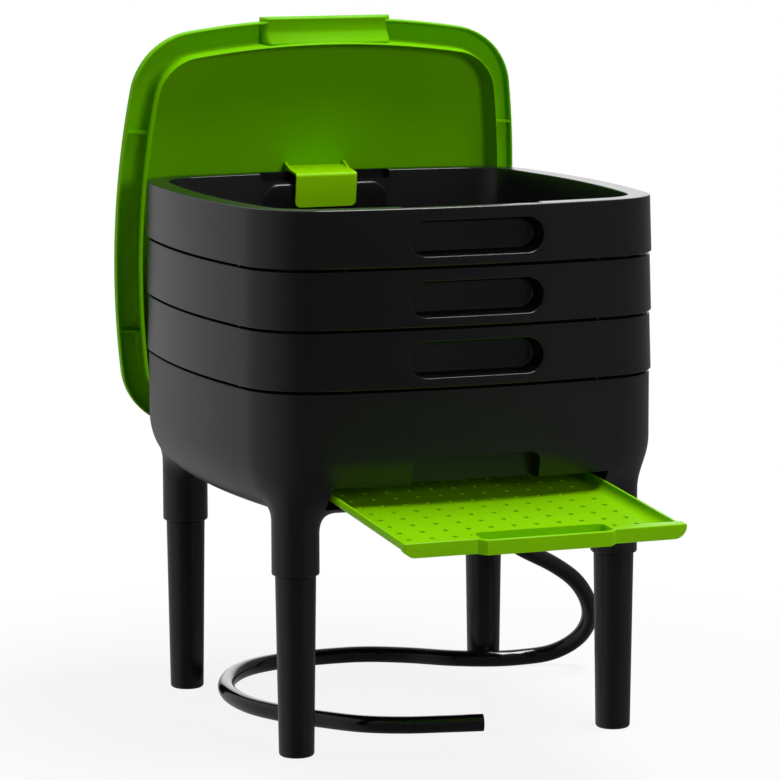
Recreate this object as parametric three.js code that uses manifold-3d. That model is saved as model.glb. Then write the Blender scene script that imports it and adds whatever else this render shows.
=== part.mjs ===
// A worm composter: a collecting base on four legs, three stacked worm trays, a sieve
// drawer in the base, a drain hose, and a lid hung by its hook on the rear rim.
// Millimetres, +Z up, front towards -Y. Everything is placed from the point on the ground
// midway between the legs; the finished group is then moved so that its origin lies on
// the ground under the middle of the whole, drawer out and lid hung behind.
import * as THREE from 'three';
import { mergeVertices } from 'three/addons/utils/BufferGeometryUtils.js';
import Module from 'manifold-3d';

const wasm = await Module();
wasm.setup();

// The outline that base, trays and lid share
const stackHalf = 191.2;
const sideBulge = 21.8;
const cornerRadius = 62;

// The stack
const trayPitch = 50.2;
const baseRimHeight = 308;
const mouldedWall = 2.6;
const baseWall = 3.2;
const seatGap = 0.3;
const overrun = 12;

// The legs
const baseFloorHeight = 203.5;
const socketDrop = 50;
const legInset = 46.6;
const legFootRadius = 14.9;
const legTopRadius = 17.1;
const socketMouthHeight = baseFloorHeight - socketDrop;
const legOffset = stackHalf - legInset;

// The sieve drawer
const drawerInset = 70.2;
const drawerHalfWidth = stackHalf - drawerInset;
const drawerLength = 240;
const drawerDepth = 12.5;
const drawerPulledOut = 151;
const drawerSlope = THREE.MathUtils.degToRad(4.8);

// The lid
const lidOverhang = 0.4;
const lidLean = THREE.MathUtils.degToRad(8.45);

// How finely the rounds are cut
const sideSteps = 4;
const cornerSteps = 4;
const roundSides = 12;
const holeSides = 5;

const rightAngle = Math.PI / 2;
// How much of a round's radius is cut off a corner by one flat across it
const roundShare = 1 - Math.SQRT1_2;
const bodyColour = new THREE.Color(0x1d1d1f);
const greenColour = new THREE.Color(0x78b40a);

function bodyPlastic() {
  return new THREE.MeshStandardMaterial({ color: bodyColour, roughness: 0.55, metalness: 0 });
}

function greenPlastic() {
  return new THREE.MeshStandardMaterial({ color: greenColour, roughness: 0.4, metalness: 0 });
}

// A closed geometry as a solid that can be cut and joined
function solidOf(geometry) {
  const bare = geometry.clone();
  for (const name of Object.keys(bare.attributes)) {
    if (name !== 'position') bare.deleteAttribute(name);
  }
  const merged = mergeVertices(bare);
  return new wasm.Manifold(new wasm.Mesh({
    numProp: 3,
    vertProperties: new Float32Array(merged.attributes.position.array),
    triVerts: new Uint32Array(merged.index.array),
  }));
}

function meshOf(name, solid, material) {
  const data = solid.getMesh();
  const geometry = new THREE.BufferGeometry();
  geometry.setAttribute('position', new THREE.BufferAttribute(data.vertProperties, 3));
  geometry.setIndex(new THREE.BufferAttribute(data.triVerts, 1));
  geometry.computeVertexNormals();
  const mesh = new THREE.Mesh(geometry, material);
  mesh.name = name;
  return mesh;
}

function unionOf(solids) {
  return solids.reduce((whole, piece) => whole.add(piece));
}

// Rings with the same number of points, joined one after another. Open stacks get flat
// ends; a closed stack joins its last ring to its first.
function loft(rings, closed = false) {
  const count = rings[0].length;
  const positions = rings.flat().flatMap((p) => [p.x, p.y, p.z]);
  const index = [];
  const bands = closed ? rings.length : rings.length - 1;
  for (let r = 0; r < bands; r += 1) {
    const low = r * count;
    const high = ((r + 1) % rings.length) * count;
    for (let i = 0; i < count; i += 1) {
      const j = (i + 1) % count;
      index.push(low + i, low + j, high + j, low + i, high + j, high + i);
    }
  }
  if (!closed) {
    for (const [r, turned] of [[0, true], [rings.length - 1, false]]) {
      const middle = new THREE.Vector3();
      rings[r].forEach((p) => middle.addScaledVector(p, 1 / count));
      const centre = positions.length / 3;
      positions.push(middle.x, middle.y, middle.z);
      for (let i = 0; i < count; i += 1) {
        const a = r * count + i;
        const b = r * count + ((i + 1) % count);
        index.push(centre, ...(turned ? [b, a] : [a, b]));
      }
    }
  }
  const geometry = new THREE.BufferGeometry();
  geometry.setAttribute('position', new THREE.Float32BufferAttribute(positions, 3));
  geometry.setIndex(index);
  return solidOf(geometry);
}

// The shared outline, drawn in by an inset, as a ring at a height. Each side is a
// shallow arc, and each corner an arc that meets both sides without a kink.
const sideRadius = (stackHalf ** 2 + sideBulge ** 2) / (2 * sideBulge);
const sideCentre = sideRadius - stackHalf;
const cornerReach = sideRadius - cornerRadius;
const cornerCentre = (Math.sqrt(2 * cornerReach ** 2 - sideCentre ** 2) - sideCentre) / 2;
const sideAngle = Math.atan2(cornerCentre, cornerCentre + sideCentre);

function outlineRing(inset, height) {
  const points = [];
  for (let quarter = 0; quarter < 4; quarter += 1) {
    const turn = quarter * rightAngle;
    const place = (x, y) => points.push(new THREE.Vector3(
      x * Math.cos(turn) - y * Math.sin(turn),
      x * Math.sin(turn) + y * Math.cos(turn),
      height,
    ));
    for (let i = 0; i < sideSteps; i += 1) {
      const angle = sideAngle * (2 * i / sideSteps - 1);
      const radius = sideRadius - inset;
      place(radius * Math.cos(angle) - sideCentre, radius * Math.sin(angle));
    }
    for (let i = 0; i < cornerSteps; i += 1) {
      const angle = sideAngle + (rightAngle - 2 * sideAngle) * i / cornerSteps;
      const radius = cornerRadius - inset;
      place(cornerCentre + radius * Math.cos(angle), cornerCentre + radius * Math.sin(angle));
    }
  }
  return points;
}

// A profile of [inset, height] points carried round the outline
function aroundOutline(profile, closed = false) {
  return loft(profile.map(([inset, height]) => outlineRing(inset, height)), closed);
}

function arcProfile(centreInset, centreHeight, radius, from, to, steps) {
  return Array.from({ length: steps + 1 }, (_, i) => {
    const angle = from + (to - from) * i / steps;
    return [centreInset - radius * Math.cos(angle), centreHeight + radius * Math.sin(angle)];
  });
}

function boxBetween(x0, x1, y0, y1, z0, z1) {
  const geometry = new THREE.BoxGeometry(x1 - x0, y1 - y0, z1 - z0);
  geometry.translate((x0 + x1) / 2, (y0 + y1) / 2, (z0 + z1) / 2);
  return solidOf(geometry);
}

// A solid of revolution about a vertical axis; the profile is [radius, height] points
function turned(profile, x, y, sides = roundSides) {
  const points = profile.map(([radius, height]) => new THREE.Vector2(radius, height));
  const geometry = new THREE.LatheGeometry(points, sides);
  geometry.rotateX(rightAngle);
  geometry.translate(x, y, 0);
  return solidOf(geometry);
}

function upright(x, y, radius, z0, z1, sides = roundSides) {
  return turned([[0, z0], [radius, z0], [radius, z1], [0, z1]], x, y, sides);
}

// A ring in the shape of a slot with round ends, standing across the Y axis
function slotRing(width, height, y, z) {
  const radius = height / 2;
  const reach = width / 2 - radius;
  const steps = 6;
  const points = [];
  for (const side of [1, -1]) {
    for (let i = 0; i <= steps; i += 1) {
      const angle = side * (rightAngle - Math.PI * i / steps);
      const across = side * (reach + radius * Math.cos(angle));
      points.push(new THREE.Vector3(across, y, z + radius * Math.sin(angle)));
    }
  }
  return points;
}

// What faces the front, and its copy at the rear
function frontAndRear(solid) {
  return solid.add(solid.rotate([0, 0, 180]));
}

// Worm tray: one moulding with an outer skirt, a wide rim, a bin with a perforated
// floor that nests in the rim below, and a handle pocket front and rear. Heights are
// measured from the rim.
const rimWidth = 19;
const skirtFlare = 1.4;
const skirtGap = 2.4;
const binDraft = 4.2;
const nestDepth = 7.5;
const rimRound = 1.4;
const binFloorRound = 5;
const handleWidth = 119;
const handleHeight = 29.3;
const handleDrop = 25.3;
const handleDepth = 21;
const handleDraft = 3;
const mouthFlare = 1.8;
const notchInset = 10;
const supportInset = 79.2;
const supportThickness = 2.6;
const trayHoleWidth = 5;
const trayHoleMargin = 66.2;
const trayHolesAcross = 6;

const notchHalfWidth = handleWidth / 2 + mouldedWall;
const notchDepth = handleDrop - handleHeight / 2 - mouldedWall;
const supportPlaces = [supportInset - stackHalf, stackHalf - supportInset];
const firstTrayHole = trayHoleMargin - stackHalf;
const trayHolePitch = -2 * firstTrayHole / (trayHolesAcross - 1);

// Straight walls across the gap between skirt and bin, two to a side
function supportRibs(reach, thickness, bottom, top, places = supportPlaces, sides = [0, 90, 180, 270]) {
  return sides.flatMap((degrees) => places.map((place) => boxBetween(
    place - thickness / 2, place + thickness / 2,
    -stackHalf - overrun, -stackHalf + reach, bottom, top,
  ).rotate([0, 0, degrees])));
}

function makeTray() {
  const skirtFoot = -trayPitch + skirtGap;
  const ribFoot = -trayPitch + seatGap;
  const binFoot = -trayPitch - nestDepth;
  const binFace = rimWidth - mouldedWall;
  const binFootFace = binFace + binDraft;

  const block = aroundOutline([
    [binFootFace + binFloorRound, binFoot],
    [binFootFace, binFoot + binFloorRound],
    [binFootFace, ribFoot],
    [mouldedWall, ribFoot],
    [mouldedWall, skirtFoot],
    [-skirtFlare, skirtFoot],
    [0, -rimRound],
    [rimRound, 0],
  ]);

  const pocketFace = (width, height, inset) => slotRing(width, height, -stackHalf + inset, -handleDrop);
  const grown = 2 * mouldedWall;
  const pocketWalls = frontAndRear(loft([
    pocketFace(handleWidth + grown, handleHeight + grown, -overrun),
    pocketFace(handleWidth + grown, handleHeight + grown, mouldedWall),
    pocketFace(handleWidth + grown - handleDraft, handleHeight + grown - handleDraft,
      handleDepth + mouldedWall),
  ]));
  const recesses = frontAndRear(loft([
    pocketFace(handleWidth + mouthFlare, handleHeight + mouthFlare, -overrun),
    pocketFace(handleWidth, handleHeight, 0),
    pocketFace(handleWidth - handleDraft, handleHeight - handleDraft, handleDepth),
  ]));
  const notchWalls = frontAndRear(boxBetween(
    -notchHalfWidth - mouldedWall, notchHalfWidth + mouldedWall,
    -stackHalf + notchInset - mouldedWall, -stackHalf + rimWidth + overrun,
    -notchDepth - mouldedWall, overrun,
  ));
  const notches = frontAndRear(boxBetween(
    -notchHalfWidth, notchHalfWidth,
    -stackHalf + notchInset, -stackHalf + rimWidth + overrun,
    -notchDepth, overrun,
  ));

  const bin = aroundOutline([
    [binFootFace + mouldedWall + binFloorRound, binFoot + mouldedWall],
    [binFootFace + mouldedWall, binFoot + mouldedWall + binFloorRound],
    [rimWidth, -rimRound],
    [rimWidth - rimRound, 0],
    [rimWidth - rimRound, overrun],
  ]);
  const gap = aroundOutline([
    [mouldedWall - skirtFlare, skirtFoot - overrun],
    [mouldedWall - skirtFlare, skirtFoot],
    [mouldedWall, -mouldedWall],
    [binFace, -mouldedWall],
    [binFootFace - seatGap, ribFoot],
    [binFootFace - seatGap, skirtFoot - overrun],
  ], true);
  const ribs = supportRibs(rimWidth + binDraft, supportThickness, binFoot - overrun, 0);
  const hollows = gap.subtract(unionOf(ribs)).subtract(notchWalls)
    .add(bin)
    .subtract(pocketWalls);

  const holes = [];
  for (let row = 0; row < trayHolesAcross; row += 1) {
    for (let column = 0; column < trayHolesAcross; column += 1) {
      const x = firstTrayHole + column * trayHolePitch;
      const y = firstTrayHole + row * trayHolePitch;
      holes.push(boxBetween(x - trayHoleWidth / 2, x + trayHoleWidth / 2,
        y - trayHoleWidth / 2, y + trayHoleWidth / 2, binFoot - overrun, binFoot + overrun));
    }
  }
  return block.subtract(hollows)
    .subtract(recesses)
    .subtract(notches)
    .subtract(unionOf(holes));
}

// Drawer: a shallow perforated sieve with round lower edges, a hollow front lip and a
// finger pocket. It lies on sloping runners; its own origin is the middle of its lip's
// face, at rim level, and +Y runs to its rear.
const lipOverlap = 2;
const lipThickness = 3;
const lipDepth = 10;
const lipRise = 1.5;
const drawerEdgeRadius = 10.5;
const drawerWall = 2.2;
const drawerFloor = 2.4;
const drawerPocketHalf = 60;
const drawerPocketFront = 6;
const drawerPocketBack = 21;
const drawerPocketCorner = 7;
const drawerPocketDepth = 9.5;
const drawerHoleRadius = 2.4;
const drawerHolePitch = 20;
const drawerRowPitch = 21.5;
const drawerFirstRow = 47;
const drawerHoleMargin = 18;
const lipRecess = 6.2;
const drawerRimRise = 18.6;

const drawerRows = Math.floor((drawerLength - drawerHoleMargin - drawerFirstRow) / drawerRowPitch) + 1;
const drawerColumns = Math.floor(2 * (drawerHalfWidth - drawerHoleMargin) / drawerHolePitch) + 1;

function makeDrawer() {
  // A run of the drawer's section, flat on top and round at its lower edges
  const trough = (half, bottom, top, radius, from, to) => {
    const shape = new THREE.Shape();
    shape.moveTo(-half, top);
    shape.absarc(radius - half, bottom + radius, radius, 2 * rightAngle, 3 * rightAngle, false);
    shape.absarc(half - radius, bottom + radius, radius, 3 * rightAngle, 4 * rightAngle, false);
    shape.lineTo(half, top);
    const geometry = new THREE.ExtrudeGeometry(shape, {
      depth: to - from, bevelEnabled: false, curveSegments: 4,
    });
    geometry.rotateX(rightAngle);
    geometry.translate(0, to, 0);
    return solidOf(geometry);
  };
  const pan = trough(drawerHalfWidth, -drawerDepth, -lipRise, drawerEdgeRadius,
    lipThickness, drawerLength);
  const inside = trough(drawerHalfWidth - drawerWall, -drawerDepth + drawerFloor, overrun,
    drawerEdgeRadius - drawerWall, lipDepth, drawerLength - drawerWall);
  const lip = trough(drawerHalfWidth + lipOverlap, -drawerDepth, 0, drawerEdgeRadius,
    0, lipDepth);
  const lipHollow = boxBetween(drawerEdgeRadius - drawerHalfWidth, drawerHalfWidth - drawerEdgeRadius,
    lipThickness, lipDepth - drawerWall, -drawerDepth - overrun, -drawerFloor);

  // The pocket bows out of the lip with slanting ends and has its rear corners cut off
  const pocketShape = (wall, back) => {
    const shape = new THREE.Shape();
    const half = drawerPocketHalf - wall;
    shape.moveTo(-half + drawerPocketCorner, back);
    shape.lineTo(-half, back - drawerPocketCorner);
    shape.lineTo(-half, 0);
    shape.lineTo(-half + drawerPocketFront, wall - drawerPocketFront);
    shape.lineTo(half - drawerPocketFront, wall - drawerPocketFront);
    shape.lineTo(half, 0);
    shape.lineTo(half, back - drawerPocketCorner);
    shape.lineTo(half - drawerPocketCorner, back);
    return shape;
  };
  const pocketBlock = new THREE.ExtrudeGeometry(pocketShape(0, drawerPocketBack), {
    depth: drawerDepth, bevelEnabled: false,
  });
  pocketBlock.translate(0, 0, -drawerDepth);
  const pocketHollow = new THREE.ExtrudeGeometry(
    pocketShape(lipThickness, drawerPocketBack - drawerWall),
    { depth: drawerPocketDepth + overrun, bevelEnabled: false },
  );
  pocketHollow.translate(0, 0, -drawerPocketDepth);

  const holes = [];
  for (let row = 0; row < drawerRows; row += 1) {
    for (let column = 0; column < drawerColumns; column += 1) {
      holes.push(upright((column - (drawerColumns - 1) / 2) * drawerHolePitch,
        drawerFirstRow + row * drawerRowPitch, drawerHoleRadius,
        -drawerDepth - overrun, -drawerDepth + overrun, holeSides));
    }
  }
  return pan.subtract(inside)
    .add(lip)
    .subtract(lipHollow)
    .add(solidOf(pocketBlock))
    .subtract(solidOf(pocketHollow))
    .subtract(unionOf(holes));
}

// The drawer's place when it is pulled out by some distance down its slope
function drawerPlace(pulledOut) {
  return new THREE.Vector3(
    0,
    lipRecess - stackHalf - pulledOut * Math.cos(drawerSlope),
    baseFloorHeight + drawerRimRise - pulledOut * Math.sin(drawerSlope),
  );
}

function inDrawerFrame(solid) {
  const place = drawerPlace(0);
  return solid.rotate([THREE.MathUtils.radToDeg(drawerSlope), 0, 0])
    .translate([place.x, place.y, place.z]);
}

// Base: the tank that collects the liquid, with four leg sockets, the drawer's slot and
// runners, pillars for the lowest tray, and a sump round the drain hole.
const baseRound = 40;
const baseRoundSteps = 5;
const socketRadius = 20;
const socketFlare = 13;
const socketFlareRise = 16;
const socketBoreRadius = 15.5;
const socketBoreDepth = 42;
const socketRimRound = 1.2;
const slotSideGap = 3.5;
const slotRise = 5.1;
const slotHeight = 20.4;
const slotReach = 40;
const nicheHalfWidth = 57;
const nicheRise = 23;
const nicheDepth = 19;
const nicheCornerRadius = 8;
const runnerThickness = 3;
const runnerInset = 11.5;
const runnerFront = 36;
const runnerGuideRise = 8;
const runnerSideGap = 0.6;
const drawerStopGap = 1;
const pillarThickness = 10;
const pillarReach = 18;
const sumpX = 0;
const sumpY = 60;
const sumpTopRadius = 36;
const sumpRadius = 26;
const sumpDepth = 10;
const drainHoleRadius = 9.8;

const sumpFloorHeight = baseFloorHeight - sumpDepth;
const slotHalfWidth = drawerHalfWidth + slotSideGap;
const slotBottom = baseFloorHeight + slotRise;
const slotTop = slotBottom + slotHeight;
const nicheTop = slotTop + nicheRise;

function legPlaces() {
  return [
    ['leg_front_left', -1, -1], ['leg_front_right', 1, -1],
    ['leg_rear_left', -1, 1], ['leg_rear_right', 1, 1],
  ].map(([name, sx, sy]) => ({ name, x: sx * legOffset, y: sy * legOffset, sx, sy }));
}

// A socket flares towards the middle of the base and keeps a straight outer side
function makeSocket({ x, y, sx, sy }) {
  const flareSteps = 4;
  const circle = (radius, height) => Array.from({ length: roundSides }, (_, i) => {
    const angle = 2 * Math.PI * i / roundSides;
    const shift = (radius - socketRadius) * Math.SQRT1_2;
    return new THREE.Vector3(
      x - sx * shift + radius * Math.cos(angle),
      y - sy * shift + radius * Math.sin(angle),
      height,
    );
  });
  const flareStart = baseFloorHeight - socketFlareRise;
  const rings = [
    circle(socketRadius - socketRimRound, socketMouthHeight),
    circle(socketRadius, socketMouthHeight + socketRimRound),
  ];
  for (let i = 0; i <= flareSteps; i += 1) {
    const angle = rightAngle * i / flareSteps;
    rings.push(circle(socketRadius + socketFlare * (1 - Math.cos(angle)),
      flareStart + socketFlareRise * Math.sin(angle)));
  }
  rings.push(circle(socketRadius + socketFlare, baseFloorHeight + socketFlareRise));
  return loft(rings);
}

function makeBase() {
  const rounding = (radius, inset) => arcProfile(inset + radius, baseFloorHeight + baseRound,
    radius, -rightAngle, 0, baseRoundSteps);
  const outer = aroundOutline([
    ...rounding(baseRound, 0),
    [0, baseRimHeight - rimRound],
    [rimRound, baseRimHeight],
  ]);
  const inner = aroundOutline([
    ...rounding(baseRound - baseWall, baseWall),
    [baseWall, baseRimHeight + overrun],
  ]);
  const sump = turned([
    [0, sumpFloorHeight], [sumpRadius, sumpFloorHeight],
    [sumpTopRadius, baseFloorHeight], [sumpTopRadius, baseFloorHeight + baseWall],
    [0, baseFloorHeight + baseWall],
  ], sumpX, sumpY);
  const sumpHollow = turned([
    [0, sumpFloorHeight + baseWall], [sumpRadius - baseWall, sumpFloorHeight + baseWall],
    [sumpTopRadius - baseWall, baseFloorHeight + baseWall],
    [sumpTopRadius - baseWall, baseFloorHeight + baseWall + overrun],
    [0, baseFloorHeight + baseWall + overrun],
  ], sumpX, sumpY);
  const drainHole = upright(sumpX, sumpY, drainHoleRadius,
    sumpFloorHeight - overrun, sumpFloorHeight + baseWall + overrun);
  const bores = legPlaces().map(({ x, y }) => upright(x, y, socketBoreRadius,
    socketMouthHeight - overrun, socketMouthHeight + socketBoreDepth));

  const pillars = supportRibs(pillarReach, pillarThickness, baseFloorHeight, baseRimHeight);

  const underDrawer = -drawerDepth - seatGap;
  const runnerEnd = drawerLength + drawerStopGap;
  const deep = baseFloorHeight;
  const runners = [-1, 1].flatMap((side) => {
    const across = (near, far, y0, y1, top) => inDrawerFrame(boxBetween(
      Math.min(side * near, side * far), Math.max(side * near, side * far),
      y0, y1, -deep, top,
    ));
    const guide = drawerHalfWidth + runnerSideGap;
    const ledge = drawerHalfWidth - runnerInset;
    return [
      across(ledge - runnerThickness, ledge, runnerFront, runnerEnd + runnerThickness, underDrawer),
      across(guide, guide + runnerThickness, runnerFront, runnerEnd + runnerThickness,
        underDrawer + runnerGuideRise),
      across(ledge - runnerThickness, guide + runnerThickness, runnerEnd,
        runnerEnd + runnerThickness, underDrawer + runnerGuideRise),
    ];
  });

  // The niche over the slot lets fingers reach the drawer's pocket
  const nicheShape = (wall) => {
    const half = nicheHalfWidth + wall;
    const radius = nicheCornerRadius + wall;
    const top = nicheTop + wall;
    const shape = new THREE.Shape();
    shape.moveTo(-half, slotTop);
    shape.lineTo(half, slotTop);
    shape.lineTo(half, top - radius);
    shape.absarc(half - radius, top - radius, radius, 0, rightAngle, false);
    shape.absarc(radius - half, top - radius, radius, rightAngle, 2 * rightAngle, false);
    return shape;
  };
  const nicheBlock = new THREE.ExtrudeGeometry(nicheShape(baseWall), {
    depth: nicheDepth + baseWall, bevelEnabled: false, curveSegments: 3,
  });
  nicheBlock.rotateX(rightAngle);
  nicheBlock.translate(0, -stackHalf + nicheDepth + baseWall, 0);
  const nicheCut = new THREE.ExtrudeGeometry(nicheShape(0), {
    depth: nicheDepth + overrun, bevelEnabled: false, curveSegments: 3,
  });
  nicheCut.rotateX(rightAngle);
  nicheCut.translate(0, -stackHalf + nicheDepth, 0);
  const slot = boxBetween(-slotHalfWidth, slotHalfWidth,
    -stackHalf - overrun, -stackHalf + slotReach, slotBottom, slotTop);

  const fittings = unionOf([...pillars, ...runners, solidOf(nicheBlock)]).intersect(outer);
  return outer.add(sump)
    .add(unionOf(legPlaces().map(makeSocket)))
    .subtract(inner)
    .add(fittings)
    .subtract(sumpHollow)
    .subtract(drainHole)
    .subtract(unionOf(bores))
    .subtract(slot)
    .subtract(solidOf(nicheCut));
}

// Leg: a tapered tube with a closed foot and a spigot that pushes into its socket
const footRound = 3;
const spigotLength = 40;
const spigotClearance = 0.3;
const legWall = 2.8;
const spigotLead = 1.5;

function makeLeg({ name, x, y }) {
  const shoulder = socketMouthHeight - seatGap;
  const spigotRadius = socketBoreRadius - spigotClearance;
  const spigotTop = shoulder + spigotLength;
  const boreTop = spigotRadius - legWall;
  const boreFoot = legFootRadius - legWall;
  return meshOf(name, turned([
    [0, 0],
    [legFootRadius - footRound, 0],
    [legFootRadius - footRound * roundShare, footRound * roundShare],
    [legFootRadius, footRound],
    [legTopRadius, shoulder],
    [spigotRadius, shoulder],
    [spigotRadius, spigotTop - spigotLead],
    [spigotRadius - spigotLead, spigotTop],
    [boreTop, spigotTop],
    [boreFoot, legWall + footRound],
    [0, legWall + footRound],
  ], x, y), bodyPlastic());
}

// Drain: a threaded elbow through the sump floor, held by a nut over a gasket, and the
// hose pushed on its outlet
const stubRadius = 9.5;
const stubBoreRadius = 6;
const elbowRadius = 8.6;
const elbowBend = 17;
const flangeRadius = 16;
const flangeThickness = 3;
const gasketThickness = 2;
const nutRadius = 16;
const nutThickness = 7;
const stubRise = 3;
const outletLength = 30;
const outletDrop = 33.5;
const collarRadius = 10.5;
const collarLength = 4;
const hoseRadius = 7.5;
const hoseSides = 8;
const hoseSteps = 42;
const pipeSides = 8;

const outletHeight = sumpFloorHeight - outletDrop;

function tubeAlong(curve, radius, sides, steps) {
  const section = new THREE.Shape(Array.from({ length: sides }, (_, i) => {
    const angle = 2 * Math.PI * i / sides;
    return new THREE.Vector2(radius * Math.cos(angle), radius * Math.sin(angle));
  }));
  return new THREE.ExtrudeGeometry(section, { extrudePath: curve, steps, bevelEnabled: false });
}

// A pipe down from a height, round the elbow's bend and out along +X
function bentPipe(radius, top, outlet) {
  const bendSteps = 4;
  const ring = (x, z, angle) => Array.from({ length: pipeSides }, (_, i) => {
    const around = 2 * Math.PI * i / pipeSides;
    const out = radius * Math.cos(around);
    return new THREE.Vector3(
      sumpX + x + out * Math.cos(angle),
      sumpY - radius * Math.sin(around),
      z + out * Math.sin(angle),
    );
  });
  const rings = [ring(0, top, 0)];
  for (let i = 0; i <= bendSteps; i += 1) {
    const angle = rightAngle * i / bendSteps;
    rings.push(ring(elbowBend * (1 - Math.cos(angle)),
      outletHeight + elbowBend * (1 - Math.sin(angle)), angle));
  }
  rings.push(ring(outlet, outletHeight, rightAngle));
  return loft(rings);
}

function makeElbow() {
  const gasketTop = sumpFloorHeight - seatGap;
  const flangeTop = gasketTop - gasketThickness - seatGap;
  const nutFoot = sumpFloorHeight + baseWall + seatGap;
  const stubTop = nutFoot + nutThickness + stubRise;
  const stub = upright(sumpX, sumpY, stubRadius, flangeTop - flangeThickness, stubTop);
  const flange = upright(sumpX, sumpY, flangeRadius, flangeTop - flangeThickness, flangeTop);
  const collar = new THREE.CylinderGeometry(collarRadius, collarRadius, collarLength, roundSides);
  collar.rotateZ(rightAngle);
  collar.translate(sumpX + outletLength - collarLength / 2, sumpY, outletHeight);
  return {
    elbow: bentPipe(elbowRadius, flangeTop - flangeThickness / 2, outletLength - collarLength / 2)
      .add(stub).add(flange).add(solidOf(collar))
      .subtract(bentPipe(stubBoreRadius, stubTop + overrun, outletLength + overrun)),
    gasketTop,
    nutFoot,
  };
}

// The hose's centre line, chosen by hand: out of the elbow, down in a bow beside the
// rear right leg, back along the ground behind, and round to the open end in front
const hoseRoute = [
  [30.3, 60, 160], [46, 60, 160], [80, 60, 153], [118, 60, 137], [152, 61, 118],
  [180, 62, 103], [200, 62, 88], [213, 65, 71], [220, 72, 55], [221.5, 81, 41],
  [218, 90, 29], [209, 100, 18.5], [195, 109, 11], [172, 116, 7.8], [145, 119.5, 7.6],
  [112, 135, 7.6], [76, 164, 7.6], [40, 183, 7.6], [0, 187, 7.6], [-41, 183, 7.6],
  [-76, 168, 7.6], [-102, 141, 7.6], [-122, 102, 7.6], [-131, 60, 7.6], [-128, 15, 7.6],
  [-113, -22, 7.6], [-89, -57, 7.6], [-63, -87, 7.6], [-32, -104, 7.6], [2, -113, 7.6],
  [34, -120.5, 7.6],
];

// Lid: a panel with a short skirt, a deeper wall that locates in the tray's mouth, ribs
// that rest on the rim at two sides, and a handle pocket at the other two. Heights are
// measured from the underside of its panel.
const skirtDepth = 7;
const lidWall = 2.3;
const locatingDepth = 20.5;
const locatingDraft = 0.4;
const locatingRim = 1.3;
const locatingSlant = 4;
const locatingFillet = 5;
const lidEdgeRound = 3;
const lidHandleHalf = 61.5;
const lidHandleBow = 1.2;
const lidRibThickness = 2.2;
const lidRibInset = 99.2;

const lidRestDepth = skirtDepth + seatGap;
const locatingInset = rimWidth + seatGap;

function makeLid() {
  const rimInset = locatingInset + locatingDraft;
  const shell = aroundOutline([
    [rimInset + locatingRim + locatingSlant, 0],
    [rimInset + locatingRim, -locatingDepth],
    [rimInset, -locatingDepth],
    [locatingInset, -locatingFillet],
    [locatingInset - locatingFillet * roundShare, -locatingFillet * roundShare],
    [locatingInset - locatingFillet, 0],
    [lidWall - lidOverhang, 0],
    [lidWall - lidOverhang, -skirtDepth],
    [-lidOverhang, -skirtDepth],
    [-lidOverhang, mouldedWall - lidEdgeRound],
    [lidEdgeRound * roundShare - lidOverhang, mouldedWall - lidEdgeRound * roundShare],
    [lidEdgeRound - lidOverhang, mouldedWall],
  ]);
  const envelope = aroundOutline([
    [-lidOverhang, -locatingDepth],
    [-lidOverhang, mouldedWall],
  ]);
  const ribs = unionOf(supportRibs(locatingInset + locatingRim, lidRibThickness, -lidRestDepth,
    mouldedWall / 2, [lidRibInset - stackHalf, stackHalf - lidRibInset], [90, 270]));

  // A handle pocket is shallow over the rim's outer strip and slopes down into the notch
  const pocketSection = (wall, back, top) => {
    const edge = wall - stackHalf - lidOverhang - lidHandleBow;
    const step = -stackHalf + notchInset + seatGap;
    const drop = lidRestDepth + notchDepth - seatGap;
    const shape = new THREE.Shape();
    shape.moveTo(edge, top);
    shape.lineTo(edge, wall - skirtDepth);
    shape.lineTo(step, wall - skirtDepth);
    shape.lineTo(-stackHalf + locatingInset, wall - drop);
    shape.lineTo(back, wall - drop);
    shape.lineTo(back, top);
    const half = lidHandleHalf - wall;
    const geometry = new THREE.ExtrudeGeometry(shape, { depth: 2 * half, bevelEnabled: false });
    geometry.applyMatrix4(new THREE.Matrix4().makeBasis(
      new THREE.Vector3(0, 1, 0), new THREE.Vector3(0, 0, 1), new THREE.Vector3(1, 0, 0)));
    geometry.translate(-half, 0, 0);
    return solidOf(geometry);
  };
  const walls = pocketSection(0, -stackHalf + rimInset + locatingRim, mouldedWall);
  const hollow = pocketSection(lidWall, -stackHalf + rimInset, mouldedWall + overrun);
  return shell.add(ribs.intersect(envelope))
    .add(frontAndRear(walls))
    .subtract(frontAndRear(hollow));
}

// The hook under the lid, a bent strip that sits over the rim's outer strip in the notch
const hookHalfWidth = 29.1;
const hookReach = 35;
const hookLipLength = 31;
const hookThickness = 2.4;
const hookFlangeRise = 6.5;
const hookFlangeLength = 20;
const hookCornerRadius = 5;
const hookOffset = 3.9;
const lidHangDrop = 50.7;
const lidPanelGap = 11.1;
const lidOffset = 1.8;
const trayNames = ['tray_bottom', 'tray_middle', 'tray_top'];

function lidPlace() {
  const topRim = baseRimHeight + trayNames.length * trayPitch;
  return new THREE.Vector3(lidOffset, stackHalf + lidPanelGap, topRim - lidHangDrop);
}

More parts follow.
